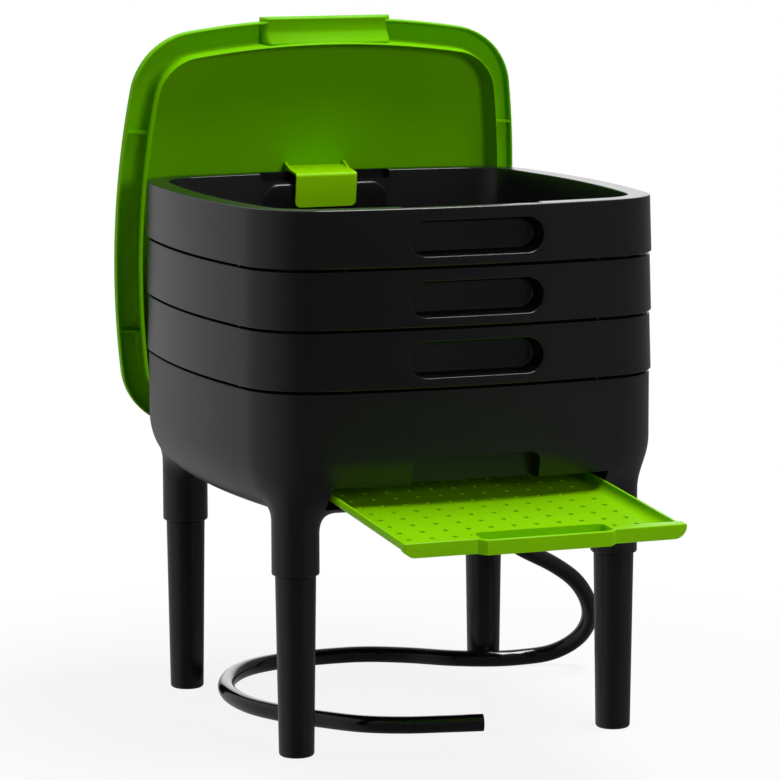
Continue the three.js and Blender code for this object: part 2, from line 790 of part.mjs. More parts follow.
// In the lid's frame +Y points down as it hangs and -Z to the front. The lid hangs a
// little askew, so the hook isn't in the middle of the stack.
function makeHook() {
  const shelf = -(notchInset + lidPanelGap) * Math.sin(lidLean)
    - (seatGap + lidHangDrop) * Math.cos(lidLean);
  const strip = boxBetween(-hookHalfWidth, hookHalfWidth, shelf - hookThickness, shelf,
    -hookReach, -seatGap);
  const lipShape = new THREE.Shape();
  lipShape.moveTo(-hookHalfWidth, -hookThickness);
  lipShape.lineTo(hookHalfWidth, -hookThickness);
  const cornerDrop = hookLipLength - hookThickness - hookCornerRadius;
  lipShape.absarc(hookHalfWidth - hookCornerRadius, cornerDrop, hookCornerRadius,
    0, rightAngle, false);
  lipShape.absarc(hookCornerRadius - hookHalfWidth, cornerDrop, hookCornerRadius,
    rightAngle, 2 * rightAngle, false);
  const lip = new THREE.ExtrudeGeometry(lipShape, {
    depth: hookThickness, bevelEnabled: false, curveSegments: 3,
  });
  lip.translate(0, shelf, -hookReach);

  const flangeShape = new THREE.Shape();
  flangeShape.moveTo(-seatGap, 0);
  flangeShape.lineTo(-seatGap, hookFlangeRise);
  flangeShape.lineTo(-hookFlangeLength, 0);
  const flanges = [-hookHalfWidth, hookHalfWidth - hookThickness].map((x) => {
    const geometry = new THREE.ExtrudeGeometry(flangeShape, {
      depth: hookThickness, bevelEnabled: false,
    });
    geometry.applyMatrix4(new THREE.Matrix4().makeBasis(
      new THREE.Vector3(0, 0, 1), new THREE.Vector3(0, -1, 0), new THREE.Vector3(1, 0, 0)));
    geometry.translate(x, shelf - hookThickness / 2, 0);
    return solidOf(geometry);
  });
  return strip.add(solidOf(lip)).add(unionOf(flanges)).translate([-hookOffset, 0, 0]);
}

const wormery = new THREE.Group();

wormery.add(meshOf('base_tank', makeBase(), bodyPlastic()));
for (const place of legPlaces()) wormery.add(makeLeg(place));

const { elbow, gasketTop, nutFoot } = makeElbow();
const rubber = new THREE.MeshStandardMaterial({ color: 0x161616, roughness: 0.8, metalness: 0 });
wormery.add(meshOf('drain_elbow', elbow, bodyPlastic()));
wormery.add(meshOf('drain_gasket', turned([
  [drainHoleRadius, gasketTop - gasketThickness], [flangeRadius, gasketTop - gasketThickness],
  [flangeRadius, gasketTop], [drainHoleRadius, gasketTop],
  [drainHoleRadius, gasketTop - gasketThickness],
], sumpX, sumpY), rubber));
wormery.add(meshOf('drain_nut', upright(sumpX, sumpY, nutRadius, nutFoot, nutFoot + nutThickness, 6)
  .subtract(upright(sumpX, sumpY, drainHoleRadius, nutFoot - overrun, nutFoot + nutThickness + overrun)),
bodyPlastic()));

const drawerGroup = new THREE.Group();
drawerGroup.position.copy(drawerPlace(drawerPulledOut));
drawerGroup.rotation.x = drawerSlope;
drawerGroup.add(meshOf('sieve_drawer', makeDrawer(), greenPlastic()));
wormery.add(drawerGroup);

const tray = makeTray();
trayNames.forEach((name, level) => {
  const mesh = meshOf(name, tray, bodyPlastic());
  mesh.position.z = baseRimHeight + (level + 1) * trayPitch;
  wormery.add(mesh);
});

const lidGroup = new THREE.Group();
lidGroup.position.copy(lidPlace());
lidGroup.rotation.x = lidLean - rightAngle;
lidGroup.add(meshOf('lid', makeLid(), greenPlastic()));
lidGroup.add(meshOf('lid_hook', makeHook(), greenPlastic()));
wormery.add(lidGroup);

// The origin is on the ground under the middle of the whole, the hose left out
const extent = new THREE.Box3().setFromObject(wormery, true);
wormery.position.y = -(extent.min.y + extent.max.y) / 2;

const hosePoints = hoseRoute.map((point) => new THREE.Vector3(...point));
const hoseCurve = new THREE.CatmullRomCurve3(hosePoints, false, 'centripetal');
wormery.add(meshOf('drain_hose', solidOf(tubeAlong(hoseCurve, hoseRadius, hoseSides, hoseSteps)),
  new THREE.MeshStandardMaterial({ color: 0x0b0b0c, roughness: 0.15, metalness: 0 })));

export default wormery;
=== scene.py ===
from math import atan2, cos, hypot, pi, radians, sin, sqrt

import bpy
import numpy as np
from mathutils import Matrix, Vector


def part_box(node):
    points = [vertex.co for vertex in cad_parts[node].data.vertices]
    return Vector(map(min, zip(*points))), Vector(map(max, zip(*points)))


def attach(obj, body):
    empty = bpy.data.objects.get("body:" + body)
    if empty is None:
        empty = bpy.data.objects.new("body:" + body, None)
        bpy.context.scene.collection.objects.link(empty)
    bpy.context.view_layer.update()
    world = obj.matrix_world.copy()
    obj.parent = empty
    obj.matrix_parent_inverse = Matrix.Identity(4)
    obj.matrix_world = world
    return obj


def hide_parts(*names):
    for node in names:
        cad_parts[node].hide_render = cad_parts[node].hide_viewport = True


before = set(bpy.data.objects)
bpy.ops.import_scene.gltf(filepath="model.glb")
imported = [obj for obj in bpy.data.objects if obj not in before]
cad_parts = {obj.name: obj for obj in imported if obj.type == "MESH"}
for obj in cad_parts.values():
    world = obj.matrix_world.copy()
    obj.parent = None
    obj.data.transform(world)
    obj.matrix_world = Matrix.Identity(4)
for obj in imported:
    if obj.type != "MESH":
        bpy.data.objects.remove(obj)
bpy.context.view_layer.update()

# Camera
# The stack is seen from the front and somewhat from the left, from just over the top
# tray, through a long lens. Everything is set out from the point midway between the feet.
feet = [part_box(f"leg_{place}") for place in ("front_left", "front_right", "rear_left", "rear_right")]
midway = sum((low + high for low, high in feet), Vector()) / (2 * len(feet))
midway.z = 0
stack_place = Matrix.Translation(midway)

PHOTO_PIXELS = 780
FOCAL_PIXELS = 3947.5
AZIMUTH, ELEVATION, ROLL = radians(-21.274), radians(8.06), radians(-0.152)
CAMERA_DISTANCE = 3.4405
AIM_RIGHT, AIM_HEIGHT = -0.0036, 0.2812
SENSOR_WIDTH, FARTHEST_SEEN = 36, 60

back = Vector((sin(AZIMUTH) * cos(ELEVATION), -cos(AZIMUTH) * cos(ELEVATION), sin(ELEVATION)))
level = Vector((cos(AZIMUTH), sin(AZIMUTH), 0))
upright = back.cross(level)
aim = midway + level * AIM_RIGHT + Vector((0, 0, AIM_HEIGHT))
right = level * cos(ROLL) + upright * sin(ROLL)
up = upright * cos(ROLL) - level * sin(ROLL)

camera = bpy.data.objects.new("camera", bpy.data.cameras.new("camera"))
camera.data.sensor_width = SENSOR_WIDTH
camera.data.lens = FOCAL_PIXELS * SENSOR_WIDTH / PHOTO_PIXELS
camera.data.clip_end = FARTHEST_SEEN
facing = Matrix((right, up, back)).transposed().to_4x4()
camera.matrix_world = Matrix.Translation(aim + back * CAMERA_DISTANCE) @ facing
bpy.context.scene.collection.objects.link(camera)
bpy.context.scene.camera = camera
bpy.context.scene.view_settings.view_transform = "Standard"

# Drain hose
# A soft black vinyl hose, pushed on the elbow under the base. It drops beside the rear
# right leg, lies round the back on the ground and ends open in front.
HOSE_DIAMETER = 0.015
HOSE_WALL = 0.0019
HOSE_SIDES = 28
HOSE_STEP = 0.004
HOSE_ROUTE = [
    (0.0303, 0.060, 0.160), (0.046, 0.060, 0.160), (0.080, 0.060, 0.153), (0.118, 0.060, 0.137),
    (0.152, 0.061, 0.118), (0.180, 0.062, 0.103), (0.200, 0.062, 0.088), (0.213, 0.065, 0.071),
    (0.220, 0.072, 0.055), (0.2215, 0.081, 0.041), (0.218, 0.090, 0.029), (0.209, 0.100, 0.0185),
    (0.195, 0.109, 0.011), (0.172, 0.116, 0.0078), (0.145, 0.1195, 0.0076), (0.112, 0.135, 0.0076),
    (0.076, 0.164, 0.0076), (0.040, 0.183, 0.0076), (0.0, 0.187, 0.0076), (-0.041, 0.183, 0.0076),
    (-0.076, 0.168, 0.0076), (-0.102, 0.141, 0.0076), (-0.122, 0.102, 0.0076), (-0.131, 0.060, 0.0076),
    (-0.128, 0.015, 0.0076), (-0.113, -0.022, 0.0076), (-0.089, -0.057, 0.0076),
    (-0.063, -0.087, 0.0076), (-0.032, -0.104, 0.0076), (0.002, -0.113, 0.0076),
    (0.034, -0.1205, 0.0076),
]
VINYL_BLACKS = (0.0015, 0.0015, 0.002), (0.004, 0.004, 0.0045)


class Wire:
    """A socket of a material's node, with Math nodes behind Python's operators"""

    def __init__(self, socket):
        self.socket = socket

    def node(self, kind, settings=None, sockets=None, output=0):
        """Another node of the same material, its settings made first, as the Wire it gives"""
        made = self.socket.id_data.nodes.new("ShaderNode" + kind)
        for name, value in (settings or {}).items():
            setattr(made, name, value)
        for key, value in (sockets or {}).items():
            if isinstance(value, Wire):
                self.socket.id_data.links.new(value.socket, made.inputs[key])
            else:
                made.inputs[key].default_value = value
        return Wire(made.outputs[output])

    def maths(self, operation, first, second):
        return self.node("Math", {"operation": operation}, {0: first, 1: second})

    def __add__(self, other):
        return self.maths("ADD", self, other)

    def __sub__(self, other):
        return self.maths("SUBTRACT", self, other)

    def __rsub__(self, other):
        return self.maths("SUBTRACT", other, self)

    def __mul__(self, other):
        return self.maths("MULTIPLY", self, other)

    __radd__, __rmul__ = __add__, __mul__

    def clipped(self):
        """Its value, held between 0 and 1"""
        return self.maths("MINIMUM", self.maths("MAXIMUM", self, 0), 1)

    def into(self, shader, name):
        self.socket.id_data.links.new(self.socket, shader.inputs[name])


def new_material(name, **constants):
    """A named material, its shader, and its object coordinates in metres"""
    material = bpy.data.materials.new(name)
    material.use_nodes = True
    nodes = material.node_tree.nodes
    shader = nodes["Principled BSDF"]
    for key, value in constants.items():
        shader.inputs[key.replace("_", " ")].default_value = value
    return material, shader, Wire(nodes.new("ShaderNodeTexCoord").outputs["Object"])


def noise(place, scale, detail=2.0):
    return place.node("TexNoise", {}, {"Vector": place, "Scale": scale, "Detail": detail})


def tinted(place, amount, dark, light):
    return place.node("Mix", {"data_type": "RGBA"}, {
        "Factor": amount, 6: (*dark, 1), 7: (*light, 1)}, output=2)


def spread(amount, middle, width):
    """A value that a noise varies on both sides of its middle"""
    return amount * width + (middle - width / 2)


def bumped(place, height, depth, shader):
    place.node("Bump", {}, {"Height": height, "Distance": depth}).into(shader, "Normal")


def loft(rings, closed=False):
    """Rings of points joined one after another, as points and faces with flat ends"""
    count = len(rings[0])
    last = (len(rings) - 1) * count
    faces = []
    for band in range(len(rings) if closed else len(rings) - 1):
        low, high = band * count, (band + 1) % len(rings) * count
        faces += [(low + i, low + (i + 1) % count, high + (i + 1) % count, high + i)
                  for i in range(count)]
    if not closed:
        faces += [tuple(reversed(range(count))), tuple(range(last, last + count))]
    return np.concatenate(rings), faces


def solid(name, *shapes):
    """An object made of one shape or of several that don't touch"""
    points, faces, start = [], [], 0
    for shape_points, shape_faces in shapes:
        points.append(np.asarray(shape_points, float))
        faces += [tuple(start + i for i in face) for face in shape_faces]
        start += len(shape_points)
    mesh = bpy.data.meshes.new(name)
    mesh.from_pydata(np.concatenate(points).tolist(), [], faces)
    piece = bpy.data.objects.new(name, mesh)
    bpy.context.scene.collection.objects.link(piece)
    return piece


def dressed(piece, material, body, slot, *nodes, place=stack_place, crease=32):
    """A finished piece: moved to its place, shaded, and tied to the frame"""
    piece.data.transform(place)
    piece.data.materials.clear()
    piece.data.materials.append(material)
    piece.data.shade_smooth()
    piece.data.set_sharp_from_angle(angle=radians(crease))
    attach(piece, body)
    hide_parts(*nodes)
    return piece


def smooth_route(points, samples=24):
    """A centripetal Catmull-Rom curve through the points, as evenly spaced points"""
    points = np.array(points)
    points = np.vstack([2 * points[0] - points[1], points, 2 * points[-1] - points[-2]])
    curve = []
    for p0, p1, p2, p3 in zip(points, points[1:], points[2:], points[3:]):
        t0 = 0
        t1 = t0 + np.linalg.norm(p1 - p0) ** 0.5
        t2 = t1 + np.linalg.norm(p2 - p1) ** 0.5
        t3 = t2 + np.linalg.norm(p3 - p2) ** 0.5
        t = np.linspace(t1, t2, samples, endpoint=False)[:, None]
        a1 = ((t1 - t) * p0 + (t - t0) * p1) / (t1 - t0)
        a2 = ((t2 - t) * p1 + (t - t1) * p2) / (t2 - t1)
        a3 = ((t3 - t) * p2 + (t - t2) * p3) / (t3 - t2)
        b1 = ((t2 - t) * a1 + (t - t0) * a2) / (t2 - t0)
        b2 = ((t3 - t) * a2 + (t - t1) * a3) / (t3 - t1)
        curve.append(((t2 - t) * b1 + (t - t1) * b2) / (t2 - t1))
    curve = np.vstack(curve + [points[-2:-1]])
    along = np.concatenate([[0], np.cumsum(np.linalg.norm(np.diff(curve, axis=0), axis=1))])
    even = np.linspace(0, along[-1], round(along[-1] / HOSE_STEP) + 1)
    return np.column_stack([np.interp(even, along, curve[:, axis]) for axis in range(3)]), along[-1]


def hose_rings(line, radii):
    """Rings square to a line, carried along it without a twist"""
    tangents = np.gradient(line, axis=0)
    tangents /= np.linalg.norm(tangents, axis=1)[:, None]
    side = np.cross(tangents[0], (0, 0, 1))
    rings = []
    turn = np.linspace(0, 2 * pi, HOSE_SIDES, endpoint=False)[:, None]
    for point, tangent, radius in zip(line, tangents, radii):
        side = side - tangent * side.dot(tangent)
        side /= np.linalg.norm(side)
        rings.append(point + radius * (np.cos(turn) * side + np.sin(turn) * np.cross(tangent, side)))
    return rings


hose_line, hose_length = smooth_route(HOSE_ROUTE)
hose_radii = np.full(len(hose_line), HOSE_DIAMETER / 2)
outside = hose_rings(hose_line, hose_radii)
bore = hose_rings(hose_line, hose_radii - HOSE_WALL)
hose = solid("drain_hose_skin", loft(outside + bore[::-1], closed=True))

vinyl, shader, place = new_material("glossy black vinyl", Roughness=0.16, Coat_Weight=0.15,
                                    Coat_Roughness=0.05)
tinted(place, noise(place, scale=40), *VINYL_BLACKS).into(shader, "Base Color")
spread(noise(place, scale=18, detail=3.0), 0.12, 0.08).into(shader, "Roughness")
bumped(place, noise(place, scale=260), 0.00003, shader)
dressed(hose, vinyl, "base", "hose_vinyl", "drain_hose", crease=50)

# Base
# The collecting tank, one thick moulding of anthracite plastic with four sockets under its rounded
# floor. A finger niche tops its drawer slot; inside are runners, pillars for a tray and a drain sump.
STACK_HALF = 0.1912
SIDE_BULGE = 0.0218
CORNER_RADIUS = 0.062
SIDE_STEPS, CORNER_STEPS = 22, 14
BASE_FLOOR = 0.2035
BASE_RIM = 0.308
BASE_ROUND_WIDTH, BASE_ROUND_HEIGHT = 0.038, 0.050
BASE_WALL = 0.0032
RIM_ROUND, RIM_BEVEL, RIM_LIFT = 0.0014, 0.0004, 0.0001
SOCKET_PLACE = 0.1446
SOCKET_RADIUS = 0.020
SOCKET_MOUTH = 0.1535
SOCKET_EDGE = 0.0012
SOCKET_BLEND, SOCKET_BLEND_LEAN = 0.0115, 0.0035
SOCKET_BORE = 0.0155
SOCKET_BORE_TOP = 0.1955
# How the blank of a socket widens, as (added radius, height over the floor)
SOCKET_FLARE = [(0.0, -0.012), (0.003, -0.004), (0.006, 0.002), (0.001, 0.020)]
SOCKET_SIDES = 32
SLOT_HALF, SLOT_BOTTOM, SLOT_TOP, SLOT_REACH = 0.1245, 0.2086, 0.229, 0.040
NICHE_HALF, NICHE_TOP, NICHE_DEPTH, NICHE_CORNER = 0.057, 0.252, 0.019, 0.008
PILLAR_PLACES, PILLAR_THICKNESS, PILLAR_REACH = (-0.112, 0.112), 0.010, 0.018
SUMP_PLACE = (0.0, 0.060)
SUMP_TOP_RADIUS, SUMP_RADIUS, SUMP_DEPTH, SUMP_EDGE = 0.036, 0.026, 0.010, 0.001
DRAIN_HOLE_RADIUS = 0.0098
RUNNER_FRONT, RUNNER_THICKNESS, RUNNER_RISE, RUNNER_INSET = 0.036, 0.003, 0.0083, 0.0115
GUIDE_GAP, STOP_GAP = 0.0006, 0.001
DRAWER_HALF, DRAWER_LENGTH, DRAWER_DEPTH = 0.121, 0.240, 0.0125
DRAWER_SLOPE = radians(4.8)
DRAWER_CLOSED_LIP, DRAWER_CLOSED_RIM = -0.185, 0.2221
SEAT_GAP = 0.0003
VOXEL = 0.0024
ANTHRACITES = (0.0044, 0.0044, 0.0049), (0.0062, 0.0062, 0.0068)
# How far a cut runs past what it cuts, what keeps two faces off one plane, how pieces of one
# moulding overlap, and how far the fittings stay inside the tank's skin and below its rim
OVERRUN, HAIR, OVERLAP = 0.012, 0.00002, 0.0001
SLOT_OVERLAP, FITTING_INSET, FITTING_DROP = 0.002, 0.001, 0.0005

side_radius = (STACK_HALF ** 2 + SIDE_BULGE ** 2) / (2 * SIDE_BULGE)
side_centre = side_radius - STACK_HALF
corner_reach = side_radius - CORNER_RADIUS
corner_centre = (sqrt(2 * corner_reach ** 2 - side_centre ** 2) - side_centre) / 2
side_angle = atan2(corner_centre, corner_centre + side_centre)
sump_floor = BASE_FLOOR - SUMP_DEPTH


def outline_parts():
    """The arcs of the shared outline, as centres, directions and radii of its points"""
    centres, directions, radii = [], [], []
    for side in range(4):
        turn = np.array([[cos(side * pi / 2), sin(side * pi / 2)],
                         [-sin(side * pi / 2), cos(side * pi / 2)]])
        for start, stop, steps, centre, radius in (
                (-side_angle, side_angle, SIDE_STEPS, (-side_centre, 0), side_radius),
                (side_angle, pi / 2 - side_angle, CORNER_STEPS, (corner_centre,) * 2, CORNER_RADIUS)):
            for angle in np.linspace(start, stop, steps, endpoint=False):
                centres.append(np.array(centre) @ turn)
                directions.append(np.array((cos(angle), sin(angle))) @ turn)
                radii.append(radius)
    return np.array(centres), np.array(directions), np.array(radii)[:, None]


outline_centres, outline_directions, outline_radii = outline_parts()


def outline(inset, height):
    flat = outline_centres + outline_directions * (outline_radii - inset)
    return np.column_stack([flat, np.full(len(flat), height)])


def around_outline(profile, closed=False):
    """A profile of (inset, height) points carried round the outline"""
    return loft([outline(inset, height) for inset, height in profile], closed)


def arc(inset, height, radius, start, stop, steps):
    """Points of a profile on a round, from one angle in degrees to another"""
    return [(inset - radius * cos(angle), height + radius * sin(angle))
            for angle in np.radians(np.linspace(start, stop, steps + 1))]


def block(x0, x1, y0, y1, z0, z1):
    """A plain box between two corners"""
    return loft([np.array([(x0, y0, z), (x1, y0, z), (x1, y1, z), (x0, y1, z)]) for z in (z0, z1)])


def spun(shape, degrees):
    points, faces = shape
    return points @ np.array(Matrix.Rotation(radians(-degrees), 3, "Z")), faces


def turned(profile, x=0.0, y=0.0, sides=72):
    """A closed form of revolution; the profile is (radius, height), from its foot to its top"""
    angles = np.linspace(0, 2 * pi, sides, endpoint=False)
    return loft([np.column_stack([x + radius * np.cos(angles), y + radius * np.sin(angles),
                                  np.full(sides, height)]) for radius, height in profile])


def at_corners(profile, sides=72):
    """A form of revolution at each of the four sockets"""
    return [turned(profile, sx * SOCKET_PLACE, sy * SOCKET_PLACE, sides)
            for sx in (-1, 1) for sy in (-1, 1)]


def formed(*shapes):
    """Shapes as one object, or the object itself where that is what is given"""
    return shapes[0] if isinstance(shapes[0], bpy.types.Object) else solid("form", *shapes)


def carved(name, blank, *steps):
    """A blank cut by, or joined with, one tool after another; blank and tools are used up"""
    blank = formed(blank)
    tools = [formed(*shapes) for _, *shapes in steps]
    for (operation, *_), tool in zip(steps, tools):
        modifier = blank.modifiers.new(tool.name, "BOOLEAN")
        modifier.operation, modifier.object, modifier.solver = operation, tool, "MANIFOLD"
    shape = blank.evaluated_get(bpy.context.evaluated_depsgraph_get())
    mesh = bpy.data.meshes.new_from_object(shape)
    mesh.name = name
    for used in [blank] + tools:
        bpy.data.meshes.remove(used.data)
    piece = bpy.data.objects.new(name, mesh)
    bpy.context.scene.collection.objects.link(piece)
    return piece


def rounded(x0, x1, z0, z1, low, high, steps=7):
    """A standing rectangle with rounded lower and upper corners, as (x, z) points"""
    points = []
    for x, z, radius, start in ((x1 - high, z1 - high, high, 90), (x1 - low, z0 + low, low, 0),
                                (x0 + low, z0 + low, low, -90), (x0 + high, z1 - high, high, -180)):
        angles = np.radians(np.linspace(start, start - 90, steps if radius else 1))
        points.append(np.column_stack([x + radius * np.cos(angles), z + radius * np.sin(angles)]))
    return np.concatenate(points)


def standing(flat, y):
    """A flat (x, z) outline stood up at a depth, which may differ from point to point"""
    return np.column_stack([flat[:, 0], np.broadcast_to(y, len(flat)), flat[:, 1]])


def prism(flat, front, rear):
    return loft([standing(flat, front), standing(flat, rear)])


def rounded_step(across, over, radius):
    """The signed distance of an edge between two faces that is rounded off"""
    across, over = across + radius, over + radius
    return (np.hypot(np.maximum(across, 0), np.maximum(over, 0))
            + np.minimum(np.maximum(across, over), 0) - radius)


def base_distance(points):
    """How far points lie outside the base's skin: the tank and its sockets, blended"""
    wide, narrow = np.sort(np.abs(points[:, :2]), axis=1).T[::-1]
    on_side = np.arctan2(narrow, wide + side_centre) < side_angle
    plan = np.where(on_side, np.hypot(wide + side_centre, narrow) - side_radius,
                    np.hypot(wide - corner_centre, narrow - corner_centre) - CORNER_RADIUS)
    squashed = (BASE_FLOOR - points[:, 2]) * BASE_ROUND_WIDTH / BASE_ROUND_HEIGHT
    tank = rounded_step(plan, squashed, BASE_ROUND_WIDTH)
    socket = np.hypot(wide - SOCKET_PLACE, narrow - SOCKET_PLACE) - SOCKET_RADIUS
    socket = rounded_step(socket, SOCKET_MOUTH - points[:, 2], SOCKET_EDGE)
    outward = np.clip((wide + narrow - 2 * SOCKET_PLACE) / (sqrt(2) * SOCKET_RADIUS), -1, 1)
    blend = SOCKET_BLEND - SOCKET_BLEND_LEAN * outward
    near = np.maximum(blend - np.abs(tank - socket), 0)
    return np.minimum(tank, socket) - near ** 2 / (4 * blend)


def base_turn(depth):
    """The turn from the tank's floor into its side, at a depth under the skin"""
    return [(BASE_ROUND_WIDTH - (BASE_ROUND_WIDTH - depth) * cos(angle),
             BASE_FLOOR + BASE_ROUND_HEIGHT - (BASE_ROUND_HEIGHT - depth) * sin(angle))
            for angle in np.radians(np.linspace(90, 0, 15))]


def settle(piece, distance, top):
    """Moves every point below a height on to the skin that a distance describes"""
    count = len(piece.data.vertices)
    points = np.empty(count * 3)
    piece.data.vertices.foreach_get("co", points)
    points = points.reshape(-1, 3)
    loose = points[:, 2] < top
    moving = points[loose]
    step = 1e-5
    for _ in range(5):
        slope = np.column_stack([distance(moving + step * axis) - distance(moving - step * axis)
                                 for axis in np.eye(3)]) / (2 * step)
        moving -= slope * (distance(moving) / np.maximum((slope ** 2).sum(axis=1), 1e-6))[:, None]
    points[loose] = moving
    piece.data.vertices.foreach_set("co", points.ravel())
    piece.data.update()


def drawer_place(pulled_out):
    """Where the middle of the lip's face is at rim level, for a distance down the slope"""
    middle = (0, DRAWER_CLOSED_LIP - pulled_out * cos(DRAWER_SLOPE),
              DRAWER_CLOSED_RIM - pulled_out * sin(DRAWER_SLOPE))
    return Matrix.Translation(middle) @ Matrix.Rotation(DRAWER_SLOPE, 4, "X")


def moved(shape, matrix):
    points, faces = shape
    return points @ np.array(matrix.to_3x3()).T + np.array(matrix.translation), faces


def rail(near, far, front, rear, top):
    """A left and a right rail beside or under the drawer, on its slope, from the floor up"""
    return [moved(block(*sorted((side * near, side * far)), front, rear, -BASE_FLOOR, top),
                  drawer_place(0)) for side in (-1, 1)]


def webs(thickness, reach, foot, top):
    """Upright webs that stand in from all four sides, two to a side"""
    return [spun(block(place - thickness / 2, place + thickness / 2,
                       -STACK_HALF - OVERRUN, -STACK_HALF + reach, foot, top), degrees)
            for degrees in (0, 90, 180, 270) for place in PILLAR_PLACES]


def niche(wall):
    """The finger niche over the slot, or with a wall what stands round it"""
    flat = rounded(-NICHE_HALF - wall, NICHE_HALF + wall, SLOT_TOP - SLOT_OVERLAP, NICHE_TOP + wall,
                   0, NICHE_CORNER + wall)
    return prism(flat, -STACK_HALF - OVERRUN, -STACK_HALF + NICHE_DEPTH + wall)


def make_base():
    above = BASE_RIM + OVERRUN
    flare = [(SOCKET_RADIUS + more, BASE_FLOOR + height) for more, height in SOCKET_FLARE]
    sockets = at_corners([(SOCKET_RADIUS, SOCKET_MOUTH)] + flare, SOCKET_SIDES)
    blank = carved("blank", around_outline(base_turn(0) + [(0.0, above)]), ("UNION", *sockets))
    remesh = blank.modifiers.new("remesh", "REMESH")
    remesh.mode, remesh.voxel_size = "VOXEL", VOXEL
    blank = carved("blank", blank)
    settle(blank, base_distance, above - VOXEL)

    rim = around_outline([(-HAIR, BASE_FLOOR)]
                         + arc(RIM_ROUND, BASE_RIM - RIM_ROUND, RIM_ROUND + HAIR, 0, 90, 5))
    slab = around_outline([(-OVERRUN, BASE_RIM - 2 * RIM_ROUND), (-OVERRUN, above + OVERRUN)])
    over_rim = carved("over_rim", slab, ("DIFFERENCE", rim))
    inner = around_outline(base_turn(BASE_WALL) + [
        (BASE_WALL, BASE_RIM - RIM_ROUND), (BASE_WALL - RIM_BEVEL, BASE_RIM - RIM_BEVEL),
        (BASE_WALL - RIM_ROUND, BASE_RIM + RIM_LIFT), (0.0, above)])

    floor_top = BASE_FLOOR + BASE_WALL
    sump = turned([(SUMP_RADIUS - SUMP_EDGE, sump_floor), (SUMP_RADIUS, sump_floor + SUMP_EDGE),
                   (SUMP_TOP_RADIUS, BASE_FLOOR), (SUMP_TOP_RADIUS, floor_top)], *SUMP_PLACE)
    sump_hollow = turned([
        (SUMP_RADIUS - BASE_WALL, sump_floor + BASE_WALL), (SUMP_TOP_RADIUS - BASE_WALL, floor_top),
        (SUMP_TOP_RADIUS - BASE_WALL, floor_top + OVERRUN)], *SUMP_PLACE)
    drain_hole = turned([(DRAIN_HOLE_RADIUS, sump_floor - OVERRUN),
                         (DRAIN_HOLE_RADIUS, floor_top + OVERRUN)], *SUMP_PLACE)

    under = -DRAWER_DEPTH - SEAT_GAP
    end = DRAWER_LENGTH + STOP_GAP
    ledge, guide = DRAWER_HALF - RUNNER_INSET, DRAWER_HALF + GUIDE_GAP
    fittings = carved(
        "fittings", solid("pillars", *webs(PILLAR_THICKNESS, PILLAR_REACH, BASE_FLOOR, BASE_RIM)),
        ("UNION", *rail(ledge - RUNNER_THICKNESS, ledge, RUNNER_FRONT, end, under)),
        ("UNION", *rail(guide, guide + RUNNER_THICKNESS, RUNNER_FRONT, end, under + RUNNER_RISE)),
        ("UNION", *rail(ledge - RUNNER_THICKNESS, guide + RUNNER_THICKNESS,
                        end - OVERLAP, end + RUNNER_THICKNESS, under + RUNNER_RISE)),
        ("UNION", niche(BASE_WALL)),
        ("INTERSECT", around_outline(base_turn(FITTING_INSET)
                                     + [(FITTING_INSET, BASE_RIM - FITTING_DROP)])))

    slot = block(-SLOT_HALF, SLOT_HALF, -STACK_HALF - OVERRUN, -STACK_HALF + SLOT_REACH,
                 SLOT_BOTTOM, SLOT_TOP)
    bores = at_corners([(SOCKET_BORE, SOCKET_MOUTH - OVERRUN), (SOCKET_BORE, SOCKET_BORE_TOP)])
    return carved("base_shell", blank, ("UNION", sump), ("DIFFERENCE", over_rim), ("DIFFERENCE", inner),
                  ("UNION", fittings), ("DIFFERENCE", sump_hollow), ("DIFFERENCE", drain_hole),
                  ("DIFFERENCE", *bores), ("DIFFERENCE", slot), ("DIFFERENCE", niche(0)))


def anthracite(name, roughness, mirror=0.45):
    """Satin moulded plastic with a fine grain, near black with a cold cast"""
    material, shader, place = new_material(name, Specular_IOR_Level=mirror)
    tinted(place, noise(place, scale=9, detail=3.0), *ANTHRACITES).into(shader, "Base Color")
    spread(noise(place, scale=30, detail=4.0), roughness, 0.06).into(shader, "Roughness")
    grain = noise(place, scale=1500, detail=1.0) + noise(place, scale=420, detail=1.0) * 0.6
    bumped(place, grain, 0.00002, shader)
    return material


base_plastic = anthracite("anthracite base plastic", roughness=0.33, mirror=0.50)
dressed(make_base(), base_plastic, "base", "body_plastic", "base_tank")

# Legs
# Four slightly tapered round tubes of the same plastic, closed at the foot, that push into the sockets
# and leave a thin dark seam at the socket's mouth.
LEG_FOOT_RADIUS, LEG_TOP_RADIUS = 0.0149, 0.0171
LEG_SHOULDER = SOCKET_MOUTH - SEAT_GAP
LEG_SPIGOT_RADIUS = SOCKET_BORE - SEAT_GAP
LEG_SPIGOT, LEG_LEAD_IN = 0.040, 0.0015
LEG_WALL, LEG_HOLLOW_EDGE = 0.0028, 0.002
LEG_FOOT_ROUND, LEG_EDGE = 0.003, 0.0008


def quarter(steps):
    """Points of a quarter round: the share left on one axis and the share gone on the other"""
    return [(1 - sin(angle), 1 - cos(angle)) for angle in np.radians(np.linspace(0, 90, steps))]


def leg_profile():
    foot = [(LEG_FOOT_RADIUS - LEG_FOOT_ROUND * left, LEG_FOOT_ROUND * gone) for left, gone in quarter(8)]
    shoulder = [(LEG_TOP_RADIUS - LEG_EDGE * gone, LEG_SHOULDER - LEG_EDGE * left)
                for left, gone in quarter(5)]
    return foot + shoulder + [
        (LEG_SPIGOT_RADIUS, LEG_SHOULDER), (LEG_SPIGOT_RADIUS, LEG_SHOULDER + LEG_SPIGOT - LEG_LEAD_IN),
        (LEG_SPIGOT_RADIUS - LEG_LEAD_IN, LEG_SHOULDER + LEG_SPIGOT)]


